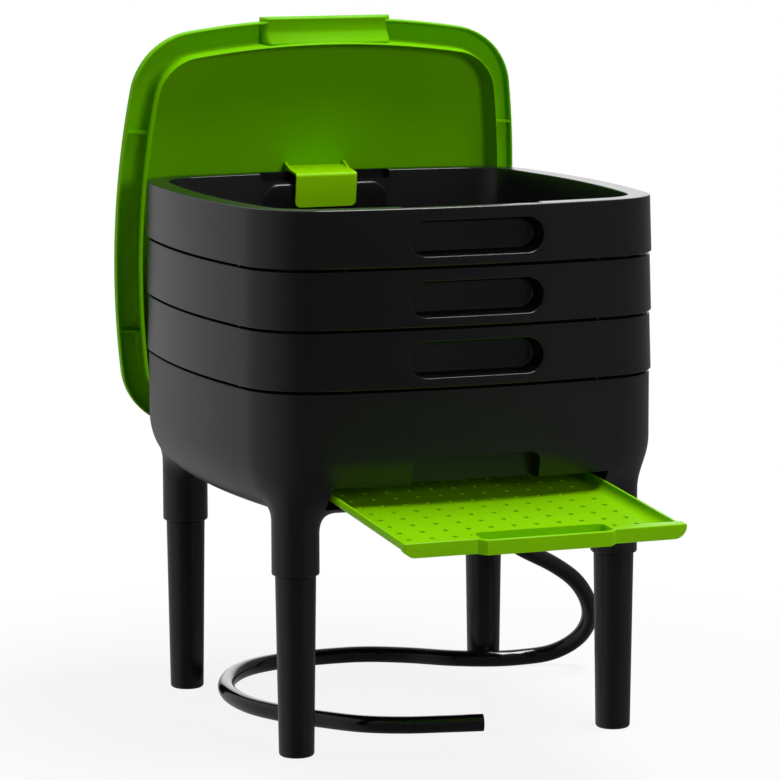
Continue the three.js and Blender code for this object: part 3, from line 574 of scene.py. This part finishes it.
def leg_hollow():
    return [(LEG_FOOT_RADIUS - LEG_WALL - LEG_HOLLOW_EDGE, LEG_WALL + LEG_FOOT_ROUND),
            (LEG_FOOT_RADIUS - LEG_WALL, LEG_WALL + LEG_FOOT_ROUND + LEG_HOLLOW_EDGE),
            (LEG_SPIGOT_RADIUS - LEG_WALL, LEG_SHOULDER + LEG_SPIGOT + OVERRUN)]


leg_plastic = anthracite("anthracite leg plastic", roughness=0.27)
for leg, tube, hollow in zip(("front_left", "rear_left", "front_right", "rear_right"),
                             at_corners(leg_profile()), at_corners(leg_hollow())):
    dressed(carved(f"leg_tube_{leg}", tube, ("DIFFERENCE", hollow)), leg_plastic,
            "base", "leg_plastic", f"leg_{leg}")

# Worm trays
# Three alike, each one double-walled moulding: skirt, wide flat rim, and a bin with a perforated floor
# that nests in the rim below. A handle pocket is moulded in front and rear, with a rim notch over it.
TRAYS = ("bottom", "middle", "top")
TRAY_PITCH = 0.0502
TRAY_WALL = 0.0026
RIM_WIDTH = 0.019
SKIRT_FLARE, SKIRT_GAP, SKIRT_EDGE, SKIRT_EDGE_RISE = 0.0014, 0.0024, 0.0004, 0.0005
BIN_DRAFT, NEST_DEPTH, BIN_ROUND = 0.0042, 0.0075, 0.005
HANDLE_WIDTH, HANDLE_HEIGHT, HANDLE_DROP, HANDLE_DEPTH = 0.119, 0.0293, 0.0253, 0.021
HANDLE_DRAFT, MOUTH_ROUND, POCKET_ROUND = 0.003, 0.0014, 0.003
NOTCH_HALF, NOTCH_INSET, NOTCH_DEPTH, NOTCH_CORNER = 0.0621, 0.010, 0.00805, 0.0025
DRAIN_HOLES, DRAIN_PITCH, DRAIN_RADIUS = 12, 0.024, 0.003
HOLE_SIDES = 16

skirt_foot = SKIRT_GAP - TRAY_PITCH
rib_foot = SEAT_GAP - TRAY_PITCH
bin_foot = -TRAY_PITCH - NEST_DEPTH
bin_face = RIM_WIDTH - TRAY_WALL
bin_foot_face = bin_face + BIN_DRAFT


def skirt_face(flat):
    """How far forward the skirt's outer face is at each (x, z) point"""
    inset = -SKIRT_FLARE * np.clip((RIM_ROUND + flat[:, 1]) / (RIM_ROUND + skirt_foot), 0, 1)
    return side_centre - np.sqrt((side_radius - inset) ** 2 - flat[:, 0] ** 2)


def handle(grow):
    """The handle pocket's outline, grown or shrunk all round"""
    half, reach = HANDLE_HEIGHT / 2 + grow, (HANDLE_WIDTH - HANDLE_HEIGHT) / 2
    ends = ((1, np.linspace(pi / 2, -pi / 2, 18)), (-1, np.linspace(-pi / 2, -3 * pi / 2, 18)))
    return np.concatenate([
        np.column_stack([side * reach + half * np.cos(angles), half * np.sin(angles) - HANDLE_DROP])
        for side, angles in ends])


def front_and_rear(shape):
    return shape, spun(shape, 180)


def pocket_end(wall):
    """The deep end of a handle pocket, or with a wall of what stands round it"""
    slope = HANDLE_DRAFT / 2 / HANDLE_DEPTH
    rings = []
    for left, gone in quarter(7):
        depth = HANDLE_DEPTH + wall - POCKET_ROUND * left
        rings.append(standing(handle(wall - slope * depth - POCKET_ROUND * gone), -STACK_HALF + depth))
    return rings


def notch(wall):
    """The notch in the rim over a handle pocket, or with a wall what stands round it"""
    flat = rounded(-NOTCH_HALF - wall, NOTCH_HALF + wall, -NOTCH_DEPTH - wall, OVERRUN,
                   NOTCH_CORNER + wall, 0)
    return prism(flat, -STACK_HALF + NOTCH_INSET - wall, -STACK_HALF + RIM_WIDTH + OVERRUN)


def make_tray():
    body = around_outline(
        arc(bin_foot_face + BIN_ROUND, bin_foot + BIN_ROUND, BIN_ROUND, -90, 0, 6)
        + [(bin_foot_face, rib_foot), (TRAY_WALL, rib_foot), (TRAY_WALL, skirt_foot),
           (SKIRT_EDGE - SKIRT_FLARE, skirt_foot), (-SKIRT_FLARE, skirt_foot + SKIRT_EDGE_RISE)]
        + arc(RIM_ROUND, -RIM_ROUND, RIM_ROUND, 0, 90, 6))
    bin_hollow = around_outline(
        arc(bin_foot_face + TRAY_WALL + BIN_ROUND, bin_foot + TRAY_WALL + BIN_ROUND, BIN_ROUND, -90, 0, 6)
        + [(RIM_WIDTH - RIM_ROUND * gone, -RIM_ROUND * left) for left, gone in quarter(6)]
        + [(RIM_WIDTH - RIM_ROUND, OVERRUN)])
    gap = around_outline([
        (TRAY_WALL - SKIRT_FLARE, skirt_foot - OVERRUN), (TRAY_WALL - SKIRT_FLARE, skirt_foot),
        (TRAY_WALL, -TRAY_WALL), (bin_face, -TRAY_WALL), (bin_foot_face - SEAT_GAP, rib_foot),
        (bin_foot_face - SEAT_GAP, skirt_foot - OVERRUN)], closed=True)
    ribs = webs(TRAY_WALL, RIM_WIDTH + BIN_DRAFT, bin_foot - OVERRUN, 0)

    pocket = loft([standing(handle(TRAY_WALL), -STACK_HALF - OVERRUN),
                   standing(handle(TRAY_WALL), -STACK_HALF + TRAY_WALL)] + pocket_end(TRAY_WALL))
    edge = handle(MOUTH_ROUND)
    mouth = [standing(edge, skirt_face(edge) - OVERRUN), standing(edge, skirt_face(edge) - HAIR)]
    for left, gone in quarter(8):
        edge = handle(MOUTH_ROUND * left)
        mouth.append(standing(edge, skirt_face(edge) + MOUTH_ROUND * gone))
    recess = loft(mouth + pocket_end(0))

    first = DRAIN_PITCH * (1 - DRAIN_HOLES) / 2
    holes = [turned([(DRAIN_RADIUS, bin_foot - OVERRUN), (DRAIN_RADIUS, bin_foot + OVERRUN)],
                    first + DRAIN_PITCH * column, first + DRAIN_PITCH * row, HOLE_SIDES)
             for row in range(DRAIN_HOLES) for column in range(DRAIN_HOLES)]
    hollows = carved("hollows", gap, ("DIFFERENCE", *ribs),
                     ("DIFFERENCE", *front_and_rear(notch(TRAY_WALL))), ("UNION", bin_hollow),
                     ("DIFFERENCE", *front_and_rear(pocket)))
    return carved("tray", body, ("DIFFERENCE", hollows), ("DIFFERENCE", *front_and_rear(recess)),
                  ("DIFFERENCE", *front_and_rear(notch(0))), ("DIFFERENCE", *holes))


tray_plastic = anthracite("anthracite tray plastic", roughness=0.23)
tray = make_tray()
for level, name in enumerate(TRAYS):
    copy = bpy.data.objects.new(f"worm_tray_{name}", tray.data.copy())
    bpy.context.scene.collection.objects.link(copy)
    dressed(copy, tray_plastic, f"{name}_tray", "body_plastic", f"tray_{name}",
            place=stack_place @ Matrix.Translation((0, 0, BASE_RIM + TRAY_PITCH * (level + 1))))
bpy.data.objects.remove(tray)

# Lid
# A lime green moulding hung on edge behind the stack, its underside to the front: a panel with a short
# skirt, a deep wall that locates in a tray's mouth, two ribs at each side and two handle pockets.
LID_LEAN = radians(8.45)
LID_PLACE = (0.0018, 0.2023, 0.4079)
LID_OVERHANG, LID_WALL, LID_PANEL = 0.0004, 0.0023, 0.0026
LID_SKIRT, LID_EDGE_ROUND = 0.007, 0.003
LOCATING_INSET, LOCATING_DRAFT, LOCATING_RIM, LOCATING_SLANT = 0.0193, 0.0004, 0.0013, 0.004
LOCATING_DEPTH, LOCATING_FILLET = 0.0205, 0.005
LOCATING_EDGE, LOCATING_CREST = 0.0005, 0.0003
# The turn from the panel into the locating wall, and the skirt's, as (inset, height)
LOCATING_ROOT = [(0.0035, 0), (0.0018, -0.0003), (0.0005, -0.0012), (-0.0005, -0.0028)]
SKIRT_ROOT = [(0.0015, 0), (0.0004, -0.0004), (0.0, -0.0015)]
SKIRT_DRAFT, SKIRT_TIP, SKIRT_TIP_RISE = 0.0002, 0.0006, 0.0005
LID_HANDLE_HALF, LID_HANDLE_BOW, LID_HANDLE_DROP = 0.0615, 0.0012, 0.01505
LID_HANDLE_DRAFT, LID_HANDLE_EDGE, LID_HANDLE_LEDGE = 0.006, 0.0008, 0.0103
# The bends before and after the pocket's slope, as (across, height)
LEDGE_BEND = [(-0.001, 0), (0.0012, -0.0007)]
FOOT_BEND = [(-0.001, 0.0009), (0.0004, 0)]
# How a pocket deepens from its end, as (share of the draft, share of the depth)
LID_HANDLE_RAMP = [(0, 0.30), (0.3, 0.62), (0.65, 0.88), (1, 1.0)]
LID_RIB_PLACE, LID_RIB_THICKNESS, LID_RIB_ROOT = 0.092, 0.0022, 0.001
LID_RIB_START, LID_RIB_END, LID_RIB_RISE, LID_RIB_FALL = 0.0008, 0.0006, 0.0026, 0.003
# The lid's greens are darker and deeper than the drawer's, though it is the same plastic: painted shade for
# its hollow underside.
LID_GREENS_PAINTED_SHADE = (0.125, 0.435, 0.0), (0.160, 0.505, 0.0)

lid_place = stack_place @ Matrix.Translation(LID_PLACE) @ Matrix.Rotation(LID_LEAN - pi / 2, 4, "X")


def lid_profile():
    """Half a section of the lid, from the panel's underside round its skirt to its top"""
    crest = LOCATING_INSET + LOCATING_DRAFT + LOCATING_RIM / 2
    root = LOCATING_INSET + LOCATING_DRAFT + LOCATING_RIM + LOCATING_SLANT
    skirt = LID_WALL - LID_OVERHANG
    return ([(root + inset, height) for inset, height in LOCATING_ROOT]
            + [(crest + LOCATING_RIM / 2, LOCATING_EDGE - LOCATING_DEPTH),
               (crest + LOCATING_CREST, -LOCATING_DEPTH), (crest - LOCATING_CREST, -LOCATING_DEPTH),
               (crest - LOCATING_RIM / 2, LOCATING_EDGE - LOCATING_DEPTH)]
            + [(LOCATING_INSET - LOCATING_FILLET * gone, -LOCATING_FILLET * left)
               for left, gone in quarter(8)]
            + [(skirt + inset, height) for inset, height in SKIRT_ROOT]
            + [(skirt - SKIRT_DRAFT, SKIRT_TIP_RISE - LID_SKIRT), (skirt - SKIRT_TIP, -LID_SKIRT),
               (SKIRT_TIP - LID_OVERHANG, -LID_SKIRT), (-LID_OVERHANG, SKIRT_TIP - LID_SKIRT)]
            + arc(LID_EDGE_ROUND - LID_OVERHANG, LID_PANEL - LID_EDGE_ROUND, LID_EDGE_ROUND, 0, 90, 8))


def lid_ribs():
    """Ribs from the skirt to the locating wall that dip between them"""
    across = np.linspace(0, 1, 9)
    inset_there = side_radius - sqrt(side_radius ** 2 - LID_RIB_PLACE ** 2)
    reach = STACK_HALF - (inset_there + LID_RIB_START + across * (LOCATING_INSET + LID_RIB_END))
    dips = -LID_SKIRT + LID_RIB_RISE * np.sin(pi * across) - LID_RIB_FALL * across
    flat = np.concatenate([[(reach[0], LID_RIB_ROOT)], np.column_stack([reach, dips]),
                           [(reach[-1], LID_RIB_ROOT)]])
    right_ribs = [prism(flat, place - LID_RIB_THICKNESS / 2, place + LID_RIB_THICKNESS / 2)
                  for place in (-LID_RIB_PLACE, LID_RIB_PLACE)]
    return right_ribs + [spun(rib, 180) for rib in right_ribs]


def lid_pocket(wall, rear, top):
    """A handle pocket, or its hollow inside a wall: a section carried from end to end"""
    edge = wall - STACK_HALF - LID_OVERHANG - LID_HANDLE_BOW
    section = np.array(
        [(edge, top), (edge, wall - LID_SKIRT + LID_HANDLE_EDGE),
         (edge + LID_HANDLE_EDGE, wall - LID_SKIRT)]
        + [(LID_HANDLE_LEDGE - STACK_HALF + across, wall - LID_SKIRT + rise)
           for across, rise in LEDGE_BEND]
        + [(LOCATING_INSET - STACK_HALF + across, wall + rise - LID_HANDLE_DROP)
           for across, rise in FOOT_BEND]
        + [(rear, wall - LID_HANDLE_DROP), (rear, top)])
    ramp = [(LID_HANDLE_HALF - wall - LID_HANDLE_DRAFT * along, depth) for along, depth in LID_HANDLE_RAMP]
    rings = []
    for across, share in [(-half, depth) for half, depth in ramp] + ramp[::-1]:
        heights = np.where(section[:, 1] < 0, section[:, 1] * share, section[:, 1])
        rings.append(np.column_stack([np.full(len(section), across), section[:, 0], heights]))
    return loft(rings)


def make_lid():
    rear = LOCATING_INSET + LOCATING_DRAFT - STACK_HALF
    return carved("lid_shell", around_outline(lid_profile()), ("UNION", *lid_ribs()),
                  ("UNION", *front_and_rear(lid_pocket(0, rear + LOCATING_RIM, LID_PANEL))),
                  ("DIFFERENCE", *front_and_rear(lid_pocket(LID_WALL, rear, LID_PANEL + OVERRUN))))


def green(name, greens, roughness, mirror=0.10):
    """Lime green moulded plastic, faintly mottled, with a soft gloss"""
    material, shader, place = new_material(name, Specular_IOR_Level=mirror)
    tinted(place, noise(place, scale=14, detail=3.0), *greens).into(shader, "Base Color")
    spread(noise(place, scale=36, detail=3.0), roughness, 0.12).into(shader, "Roughness")
    bumped(place, noise(place, scale=900, detail=1.0), 0.00003, shader)
    return material


# The lid's material carries painted shade in its darker greens.
lid_green_painted_shade = green("lime green lid plastic with painted shade", LID_GREENS_PAINTED_SHADE, roughness=0.48, mirror=0.04)
dressed(make_lid(), lid_green_painted_shade, "hung_lid", "green_plastic", "lid", place=lid_place)

# Hook
# A strip moulded on the lid's underside and bent down over the rear rim of the top
# tray, with rounded lip corners and two small gussets at its root.
HOOK_HALF, HOOK_OFFSET, HOOK_REACH, HOOK_LIP = 0.0291, 0.0039, 0.035, 0.031
HOOK_THICKNESS, HOOK_BEND, HOOK_CORNER, HOOK_EDGE = 0.0024, 0.0032, 0.005, 0.0006
HOOK_GUSSET, HOOK_GUSSET_RISE, HOOK_GUSSET_CREST = 0.019, 0.0045, 0.002
# How far the bent strip runs past its lip before the corners are cut, and how deep gussets sink in
HOOK_TRIM, HOOK_SINK = 0.001, 0.001
HOOK_SHELF = -0.05355
# The hook's greens are lighter than the drawer's, though it is the same plastic: painted light on its strip
# and lip.
HOOK_GREENS_PAINTED_LIGHT = (0.250, 0.600, 0.0), (0.290, 0.680, 0.0)


def hook_band(section, start, stop):
    """A section in the lid's (z, y), carried across from one place to another"""
    section = np.array(section)
    return loft([np.column_stack([np.full(len(section), x), section[:, 1], section[:, 0]])
                 for x in (start, stop)])


def make_hook():
    # Along the strip, round the bend and down the lip
    top = HOOK_SHELF - HOOK_THICKNESS
    foot = top + HOOK_LIP
    inner_bend = HOOK_BEND - HOOK_THICKNESS
    bent = hook_band(
        [(-SEAT_GAP, top)]
        + [(-HOOK_REACH + HOOK_BEND * left, top + HOOK_BEND * gone) for left, gone in quarter(8)]
        + [(-HOOK_REACH, foot + HOOK_TRIM), (-HOOK_REACH + HOOK_THICKNESS, foot + HOOK_TRIM)]
        + [(-HOOK_REACH + HOOK_THICKNESS + inner_bend * left, HOOK_SHELF + inner_bend * gone)
           for left, gone in reversed(quarter(5))]
        + [(-SEAT_GAP, HOOK_SHELF)], -HOOK_HALF, HOOK_HALF)
    face = rounded(-HOOK_HALF, HOOK_HALF, -foot, -top, HOOK_CORNER, HOOK_EDGE)
    face_block = loft([np.column_stack([face[:, 0], -face[:, 1], np.full(len(face), z)])
                       for z in (OVERRUN, -HOOK_REACH - OVERRUN)])
    crest = top - HOOK_GUSSET_RISE + HOOK_THICKNESS / 2
    gusset = [(-SEAT_GAP, top + HOOK_SINK), (-HOOK_GUSSET, top + HOOK_SINK),
              (-SEAT_GAP - HOOK_GUSSET_CREST, crest), (-SEAT_GAP, crest)]
    gussets = [hook_band(gusset, x, x + HOOK_THICKNESS) for x in (-HOOK_HALF, HOOK_HALF - HOOK_THICKNESS)]
    hook = carved("hook_strip", bent, ("INTERSECT", face_block), ("UNION", *gussets))
    hook.data.transform(Matrix.Translation((-HOOK_OFFSET, 0, 0)))
    return hook


# The hook's material carries painted light in its lighter greens.
hook_green_painted_light = green("lime green hook plastic with painted light", HOOK_GREENS_PAINTED_LIGHT, roughness=0.34)
dressed(make_hook(), hook_green_painted_light, "hung_lid", "green_plastic", "lid_hook", place=lid_place)

# Drawer
# A shallow perforated sieve of the same green plastic with round lower edges, a hollow
# front lip and a finger pocket that bows out of it. It slides on the base's runners.
DRAWER_OUT = 0.151
DRAWER_WALL, DRAWER_FLOOR, DRAWER_ROUND = 0.0022, 0.0024, 0.0105
LIP_OVERLAP, LIP_THICKNESS, LIP_DEPTH, LIP_RISE = 0.002, 0.003, 0.010, 0.0015
LIP_ROUND, LIP_CORNER = 0.0012, 0.0014
POCKET_HALF, POCKET_FRONT, POCKET_BACK, POCKET_CORNER, POCKET_DEPTH = 0.060, 0.006, 0.021, 0.007, 0.0095
# The pocket's rear corner in plan, in shares of its size: left across, and gone to the front
POCKET_TURN = [(1, 0), (0.4, 0.12), (0.1, 0.45), (0, 1)]
POCKET_EDGE, POCKET_EDGE_RISE, POCKET_FOOT = 0.0004, 0.0006, 0.001
SIEVE_COLUMNS, SIEVE_ROWS, SIEVE_RADIUS = 11, 9, 0.0024
SIEVE_PITCH, SIEVE_ROW_PITCH, SIEVE_FIRST_ROW = 0.020, 0.0215, 0.047
SIEVE_OVERRUN = 0.001
DRAWER_GREENS = (0.195, 0.520, 0.0), (0.235, 0.590, 0.0)


def lip_face(grow):
    """The lip's outline at its face, grown or shrunk all round"""
    half = DRAWER_HALF + LIP_OVERLAP
    return rounded(-half - grow, half + grow, -DRAWER_DEPTH - grow, grow,
                   DRAWER_ROUND + grow, LIP_CORNER + grow, 10)


def trough(half, bottom, top, radius, front, rear):
    return prism(rounded(-half, half, bottom, top, radius, 0, 10), front, rear)


def pocket_ring(wall, rear, grow, height):
    """The plan of the finger pocket at a height, inside its wall and grown or shrunk"""
    side = POCKET_HALF - wall + grow
    plan = [(side - left * POCKET_CORNER, rear + grow - gone * POCKET_CORNER) for left, gone in POCKET_TURN]
    plan += [(side, 0), (side - POCKET_FRONT, wall - POCKET_FRONT - grow)]
    plan += [(-x, y) for x, y in reversed(plan)]
    return np.array([(x, y, height) for x, y in reversed(plan)])


def make_drawer():
    lip = loft([standing(lip_face(-LIP_ROUND * left), LIP_ROUND * gone) for left, gone in quarter(6)]
               + [standing(lip_face(0), LIP_DEPTH)])
    pan = trough(DRAWER_HALF, -DRAWER_DEPTH, -LIP_RISE, DRAWER_ROUND, LIP_THICKNESS, DRAWER_LENGTH)
    inside = trough(DRAWER_HALF - DRAWER_WALL, DRAWER_FLOOR - DRAWER_DEPTH, OVERRUN,
                    DRAWER_ROUND - DRAWER_WALL, LIP_DEPTH, DRAWER_LENGTH - DRAWER_WALL)
    lip_hollow = block(DRAWER_ROUND - DRAWER_HALF, DRAWER_HALF - DRAWER_ROUND, LIP_THICKNESS,
                       LIP_DEPTH - DRAWER_WALL, -DRAWER_DEPTH - OVERRUN, -DRAWER_FLOOR)
    bow = loft([pocket_ring(0, POCKET_BACK, -POCKET_EDGE, -DRAWER_DEPTH),
                pocket_ring(0, POCKET_BACK, 0, -DRAWER_DEPTH + POCKET_EDGE_RISE)]
               + [pocket_ring(0, POCKET_BACK, -LIP_ROUND * left, -LIP_ROUND * gone)
                  for left, gone in reversed(quarter(6))])
    hollow = loft([pocket_ring(LIP_THICKNESS, POCKET_BACK - DRAWER_WALL, grow, height)
                   for grow, height in ((-POCKET_FOOT, -POCKET_DEPTH), (0, -POCKET_DEPTH + POCKET_FOOT),
                                        (0, OVERRUN))])
    holes = [turned([(SIEVE_RADIUS, -DRAWER_DEPTH - OVERRUN),
                     (SIEVE_RADIUS, DRAWER_FLOOR - DRAWER_DEPTH + SIEVE_OVERRUN)],
                    (column - (SIEVE_COLUMNS - 1) / 2) * SIEVE_PITCH,
                    SIEVE_FIRST_ROW + row * SIEVE_ROW_PITCH, HOLE_SIDES)
             for row in range(SIEVE_ROWS) for column in range(SIEVE_COLUMNS)]
    return carved("sieve_pan", pan, ("DIFFERENCE", inside), ("UNION", lip), ("DIFFERENCE", lip_hollow),
                  ("UNION", bow), ("DIFFERENCE", hollow), ("DIFFERENCE", *holes))


drawer_green = green("lime green plastic", DRAWER_GREENS, roughness=0.34)
dressed(make_drawer(), drawer_green, "drawer", "green_plastic", "sieve_drawer",
        place=stack_place @ drawer_place(DRAWER_OUT))

# Drain elbow
# A black threaded elbow that stands through the sump floor and turns out to the right,
# where the hose is pushed over its outlet against a collar.
STUB_RADIUS, STUB_BORE, ELBOW_RADIUS, ELBOW_BEND = 0.0095, 0.006, 0.0086, 0.017
FLANGE_RADIUS, FLANGE_THICKNESS, FLANGE_EDGE = 0.016, 0.003, 0.0006
GASKET_THICKNESS, NUT_THICKNESS, STUB_RISE = 0.002, 0.007, 0.003
THREAD_DEPTH, THREAD_STEP = 0.0004, 0.0012
OUTLET_LENGTH, OUTLET_DROP = 0.030, 0.0335
COLLAR_RADIUS, COLLAR_LENGTH, COLLAR_EDGE = 0.0105, 0.004, 0.0005
PIPE_SIDES = 36

gasket_top = sump_floor - SEAT_GAP
flange_top = gasket_top - GASKET_THICKNESS - SEAT_GAP
nut_foot = sump_floor + BASE_WALL + SEAT_GAP
stub_top = nut_foot + NUT_THICKNESS + STUB_RISE
outlet_height = sump_floor - OUTLET_DROP


def bent_pipe(radius, top, outlet):
    """A pipe down through the sump, round its bend and out to the right"""
    turn = np.linspace(0, 2 * pi, PIPE_SIDES, endpoint=False)

    def ring(across, height, angle):
        out = radius * np.cos(turn)
        return np.column_stack([SUMP_PLACE[0] + across + out * cos(angle),
                                SUMP_PLACE[1] - radius * np.sin(turn), height + out * sin(angle)])

    bend = [ring(ELBOW_BEND * (1 - cos(a)), outlet_height + ELBOW_BEND * (1 - sin(a)), a)
            for a in np.radians(np.linspace(0, 90, 13))]
    return loft([ring(0, top, 0)] + bend + [ring(outlet, outlet_height, pi / 2)])


def make_elbow():
    foot = flange_top - FLANGE_THICKNESS
    middle = flange_top - FLANGE_THICKNESS / 2
    thread = [(STUB_RADIUS - THREAD_DEPTH * (step % 2), flange_top + THREAD_STEP * step)
              for step in range(int((stub_top - flange_top) / THREAD_STEP))]
    stub = turned([(STUB_RADIUS, middle)] + thread, *SUMP_PLACE)
    flange = turned([(FLANGE_RADIUS - FLANGE_EDGE, foot), (FLANGE_RADIUS, foot + FLANGE_EDGE),
                     (FLANGE_RADIUS, flange_top)], *SUMP_PLACE)
    outlet = Matrix.Translation((SUMP_PLACE[0] + OUTLET_LENGTH, SUMP_PLACE[1], outlet_height))
    collar = turned([
        (COLLAR_RADIUS - COLLAR_EDGE, -COLLAR_LENGTH), (COLLAR_RADIUS, COLLAR_EDGE - COLLAR_LENGTH),
        (COLLAR_RADIUS, -COLLAR_EDGE), (COLLAR_RADIUS - COLLAR_EDGE, 0)])
    return carved("elbow", bent_pipe(ELBOW_RADIUS, middle, OUTLET_LENGTH - COLLAR_LENGTH / 2),
                  ("UNION", stub), ("UNION", flange),
                  ("UNION", moved(collar, outlet @ Matrix.Rotation(pi / 2, 4, "Y"))),
                  ("DIFFERENCE", bent_pipe(STUB_BORE, stub_top + OVERRUN, OUTLET_LENGTH + OVERRUN)))


fitting_plastic = anthracite("black fitting plastic", roughness=0.34)
dressed(make_elbow(), fitting_plastic, "base", "fitting_plastic", "drain_elbow", crease=40)

# Drain gasket
# A flat ring of black rubber, squeezed between the elbow's flange and the sump floor.
GASKET_EDGE = 0.0003
RUBBER_BLACKS = (0.010, 0.010, 0.010), (0.017, 0.017, 0.016)


def make_gasket():
    foot = gasket_top - GASKET_THICKNESS
    ring = turned([(FLANGE_RADIUS - GASKET_EDGE, foot), (FLANGE_RADIUS, foot + GASKET_EDGE),
                   (FLANGE_RADIUS, gasket_top - GASKET_EDGE), (FLANGE_RADIUS - GASKET_EDGE, gasket_top)],
                  *SUMP_PLACE)
    hole = turned([(DRAIN_HOLE_RADIUS, gasket_top - OVERRUN), (DRAIN_HOLE_RADIUS, gasket_top + OVERRUN)],
                  *SUMP_PLACE)
    return carved("gasket", ring, ("DIFFERENCE", hole))


rubber, shader, place = new_material("matt black rubber", Roughness=0.8, Specular_IOR_Level=0.4)
tinted(place, noise(place, scale=60, detail=3.0), *RUBBER_BLACKS).into(shader, "Base Color")
bumped(place, noise(place, scale=700), 0.00005, shader)
dressed(make_gasket(), rubber, "base", "gasket_rubber", "drain_gasket")

# Drain nut
# A hexagonal nut of the elbow's plastic that screws down on the sump floor from above.
NUT_RADIUS, NUT_CROWN, NUT_BEVEL, NUT_BEVEL_RISE = 0.016, 0.0004, 0.0018, 0.0015


def make_nut():
    top = nut_foot + NUT_THICKNESS
    crown = turned([
        (NUT_RADIUS - NUT_BEVEL, nut_foot), (NUT_RADIUS + NUT_CROWN, nut_foot + NUT_BEVEL_RISE),
        (NUT_RADIUS + NUT_CROWN, top - NUT_BEVEL_RISE), (NUT_RADIUS - NUT_BEVEL, top)], *SUMP_PLACE)
    hexagon = turned([(NUT_RADIUS, nut_foot), (NUT_RADIUS, top)], *SUMP_PLACE, 6)
    hole = turned([(DRAIN_HOLE_RADIUS, nut_foot - OVERRUN), (DRAIN_HOLE_RADIUS, nut_foot + OVERRUN)],
                  *SUMP_PLACE)
    return carved("nut", hexagon, ("INTERSECT", crown), ("DIFFERENCE", hole))


dressed(make_nut(), fitting_plastic, "base", "fitting_plastic", "drain_nut")

# Room
# A round sheet of white paper on a white studio floor, a broad lamp over the stack, weaker ones in
# front and at the left, and dim surroundings for the plastic to mirror.
PAPER_RADIUS, PAPER_SIDES = 0.75, 96
FADE_START, FADE_LENGTH, FLOOR_GLOW = 0.30, 0.40, 0.88
PAPER_WHITES = (0.62, 0.605, 0.57), (0.65, 0.635, 0.60)
# The lights that the plastic mirrors: the way to each, how near to it the light starts, how fast it
# grows, and how bright it gets; at the left, at the right, overhead, and white high behind at the right
MIRRORED_LIGHTS = [
    ((-0.77, 0.64, 0.0), -0.05, 1, 0.36), ((1.0, 0.0, 0.0), 0.2, 2.5, 0.10),
    ((0.0, 0.0, 1.0), 0.3, 2, 0.12), (tuple(Vector((0.36, 0.92, 0.32)).normalized()), 0.90, 10, 1.5)]
DIM_LIGHT, FILL_LIGHT = 0.10, 0.08


def smooth(wire):
    """Eases a wire's 0 to 1 in and out"""
    held = wire.clipped()
    return held * held * (3 - 2 * held)


def is_ray(wire, kind):
    """1 for one kind of ray and 0 for any other"""
    return wire.node("LightPath", output=f"Is {kind} Ray")


turn = np.linspace(0, 2 * pi, PAPER_SIDES, endpoint=False)
paper_edge = PAPER_RADIUS * np.column_stack([np.cos(turn), np.sin(turn), 0 * turn])
floor = solid("floor", (paper_edge, [tuple(range(PAPER_SIDES))]))
floor.data.transform(stack_place)
paper, shader, place = new_material("white paper floor", Roughness=0.7, Specular_IOR_Level=0.25)
tinted(place, noise(place, scale=3.0), *PAPER_WHITES).into(shader, "Base Color")
far_off = place.node("VectorMath", {"operation": "DISTANCE"}, {0: place, 1: tuple(midway)}, output=1)
faded = smooth((far_off - FADE_START) * (1 / FADE_LENGTH))
seen = (is_ray(place, "Camera") * (faded * (1 - FLOOR_GLOW) + FLOOR_GLOW)
        + is_ray(place, "Transmission") * faded)
glow = place.node("Emission", {}, {"Color": (1, 1, 1, 1), "Strength": 1})
mix = place.node("MixShader", {}, {0: seen, 1: Wire(shader.outputs[0]), 2: glow})
mix.into(paper.node_tree.nodes["Material Output"], "Surface")
floor.data.materials.append(paper)
floor.visible_glossy = False


def softbox(name, place, towards, size, power, mirrored):
    """A rectangular lamp that the plastic does or doesn't mirror"""
    lamp = bpy.data.objects.new(name, bpy.data.lights.new(name, "AREA"))
    lamp.data.shape, lamp.data.size, lamp.data.size_y = "RECTANGLE", *size
    lamp.data.energy = power
    lamp.visible_glossy = mirrored
    place, towards = midway + Vector(place), midway + Vector(towards)
    facing = (place - towards).to_track_quat("Z", "Y").to_matrix().to_4x4()
    lamp.matrix_world = Matrix.Translation(place) @ facing
    bpy.context.scene.collection.objects.link(lamp)


softbox("key_lamp", (0.55, -0.25, 2.45), towards=(0, 0, 0.3), size=(1.3, 1.0), power=66, mirrored=True)
softbox("front_lamp", (0.7, -2.7, 0.9), towards=(0, 0, 0.35), size=(0.9, 0.9), power=22, mirrored=False)
softbox("edge_lamp", (-2.2, 0.7, 0.9), towards=(0, 0, 0.35), size=(0.8, 0.8), power=20, mirrored=False)

world = bpy.data.worlds.new("studio")
world.use_nodes = True
bpy.context.scene.world = world
direction = Wire(world.node_tree.nodes.new("ShaderNodeTexCoord").outputs["Generated"])
surroundings = DIM_LIGHT
for way, start, growth, brightness in MIRRORED_LIGHTS:
    near = direction.node("VectorMath", {"operation": "DOT_PRODUCT"}, {0: direction, 1: way}, output=1)
    surroundings = surroundings + smooth((near - start) * growth) * brightness
sky = world.node_tree.nodes["Background"]
sky.inputs["Color"].default_value = (1, 1, 1, 1)
light = (is_ray(direction, "Camera") + is_ray(direction, "Transmission")
         + is_ray(direction, "Glossy") * surroundings + is_ray(direction, "Diffuse") * FILL_LIGHT)
light.into(sky, "Strength")
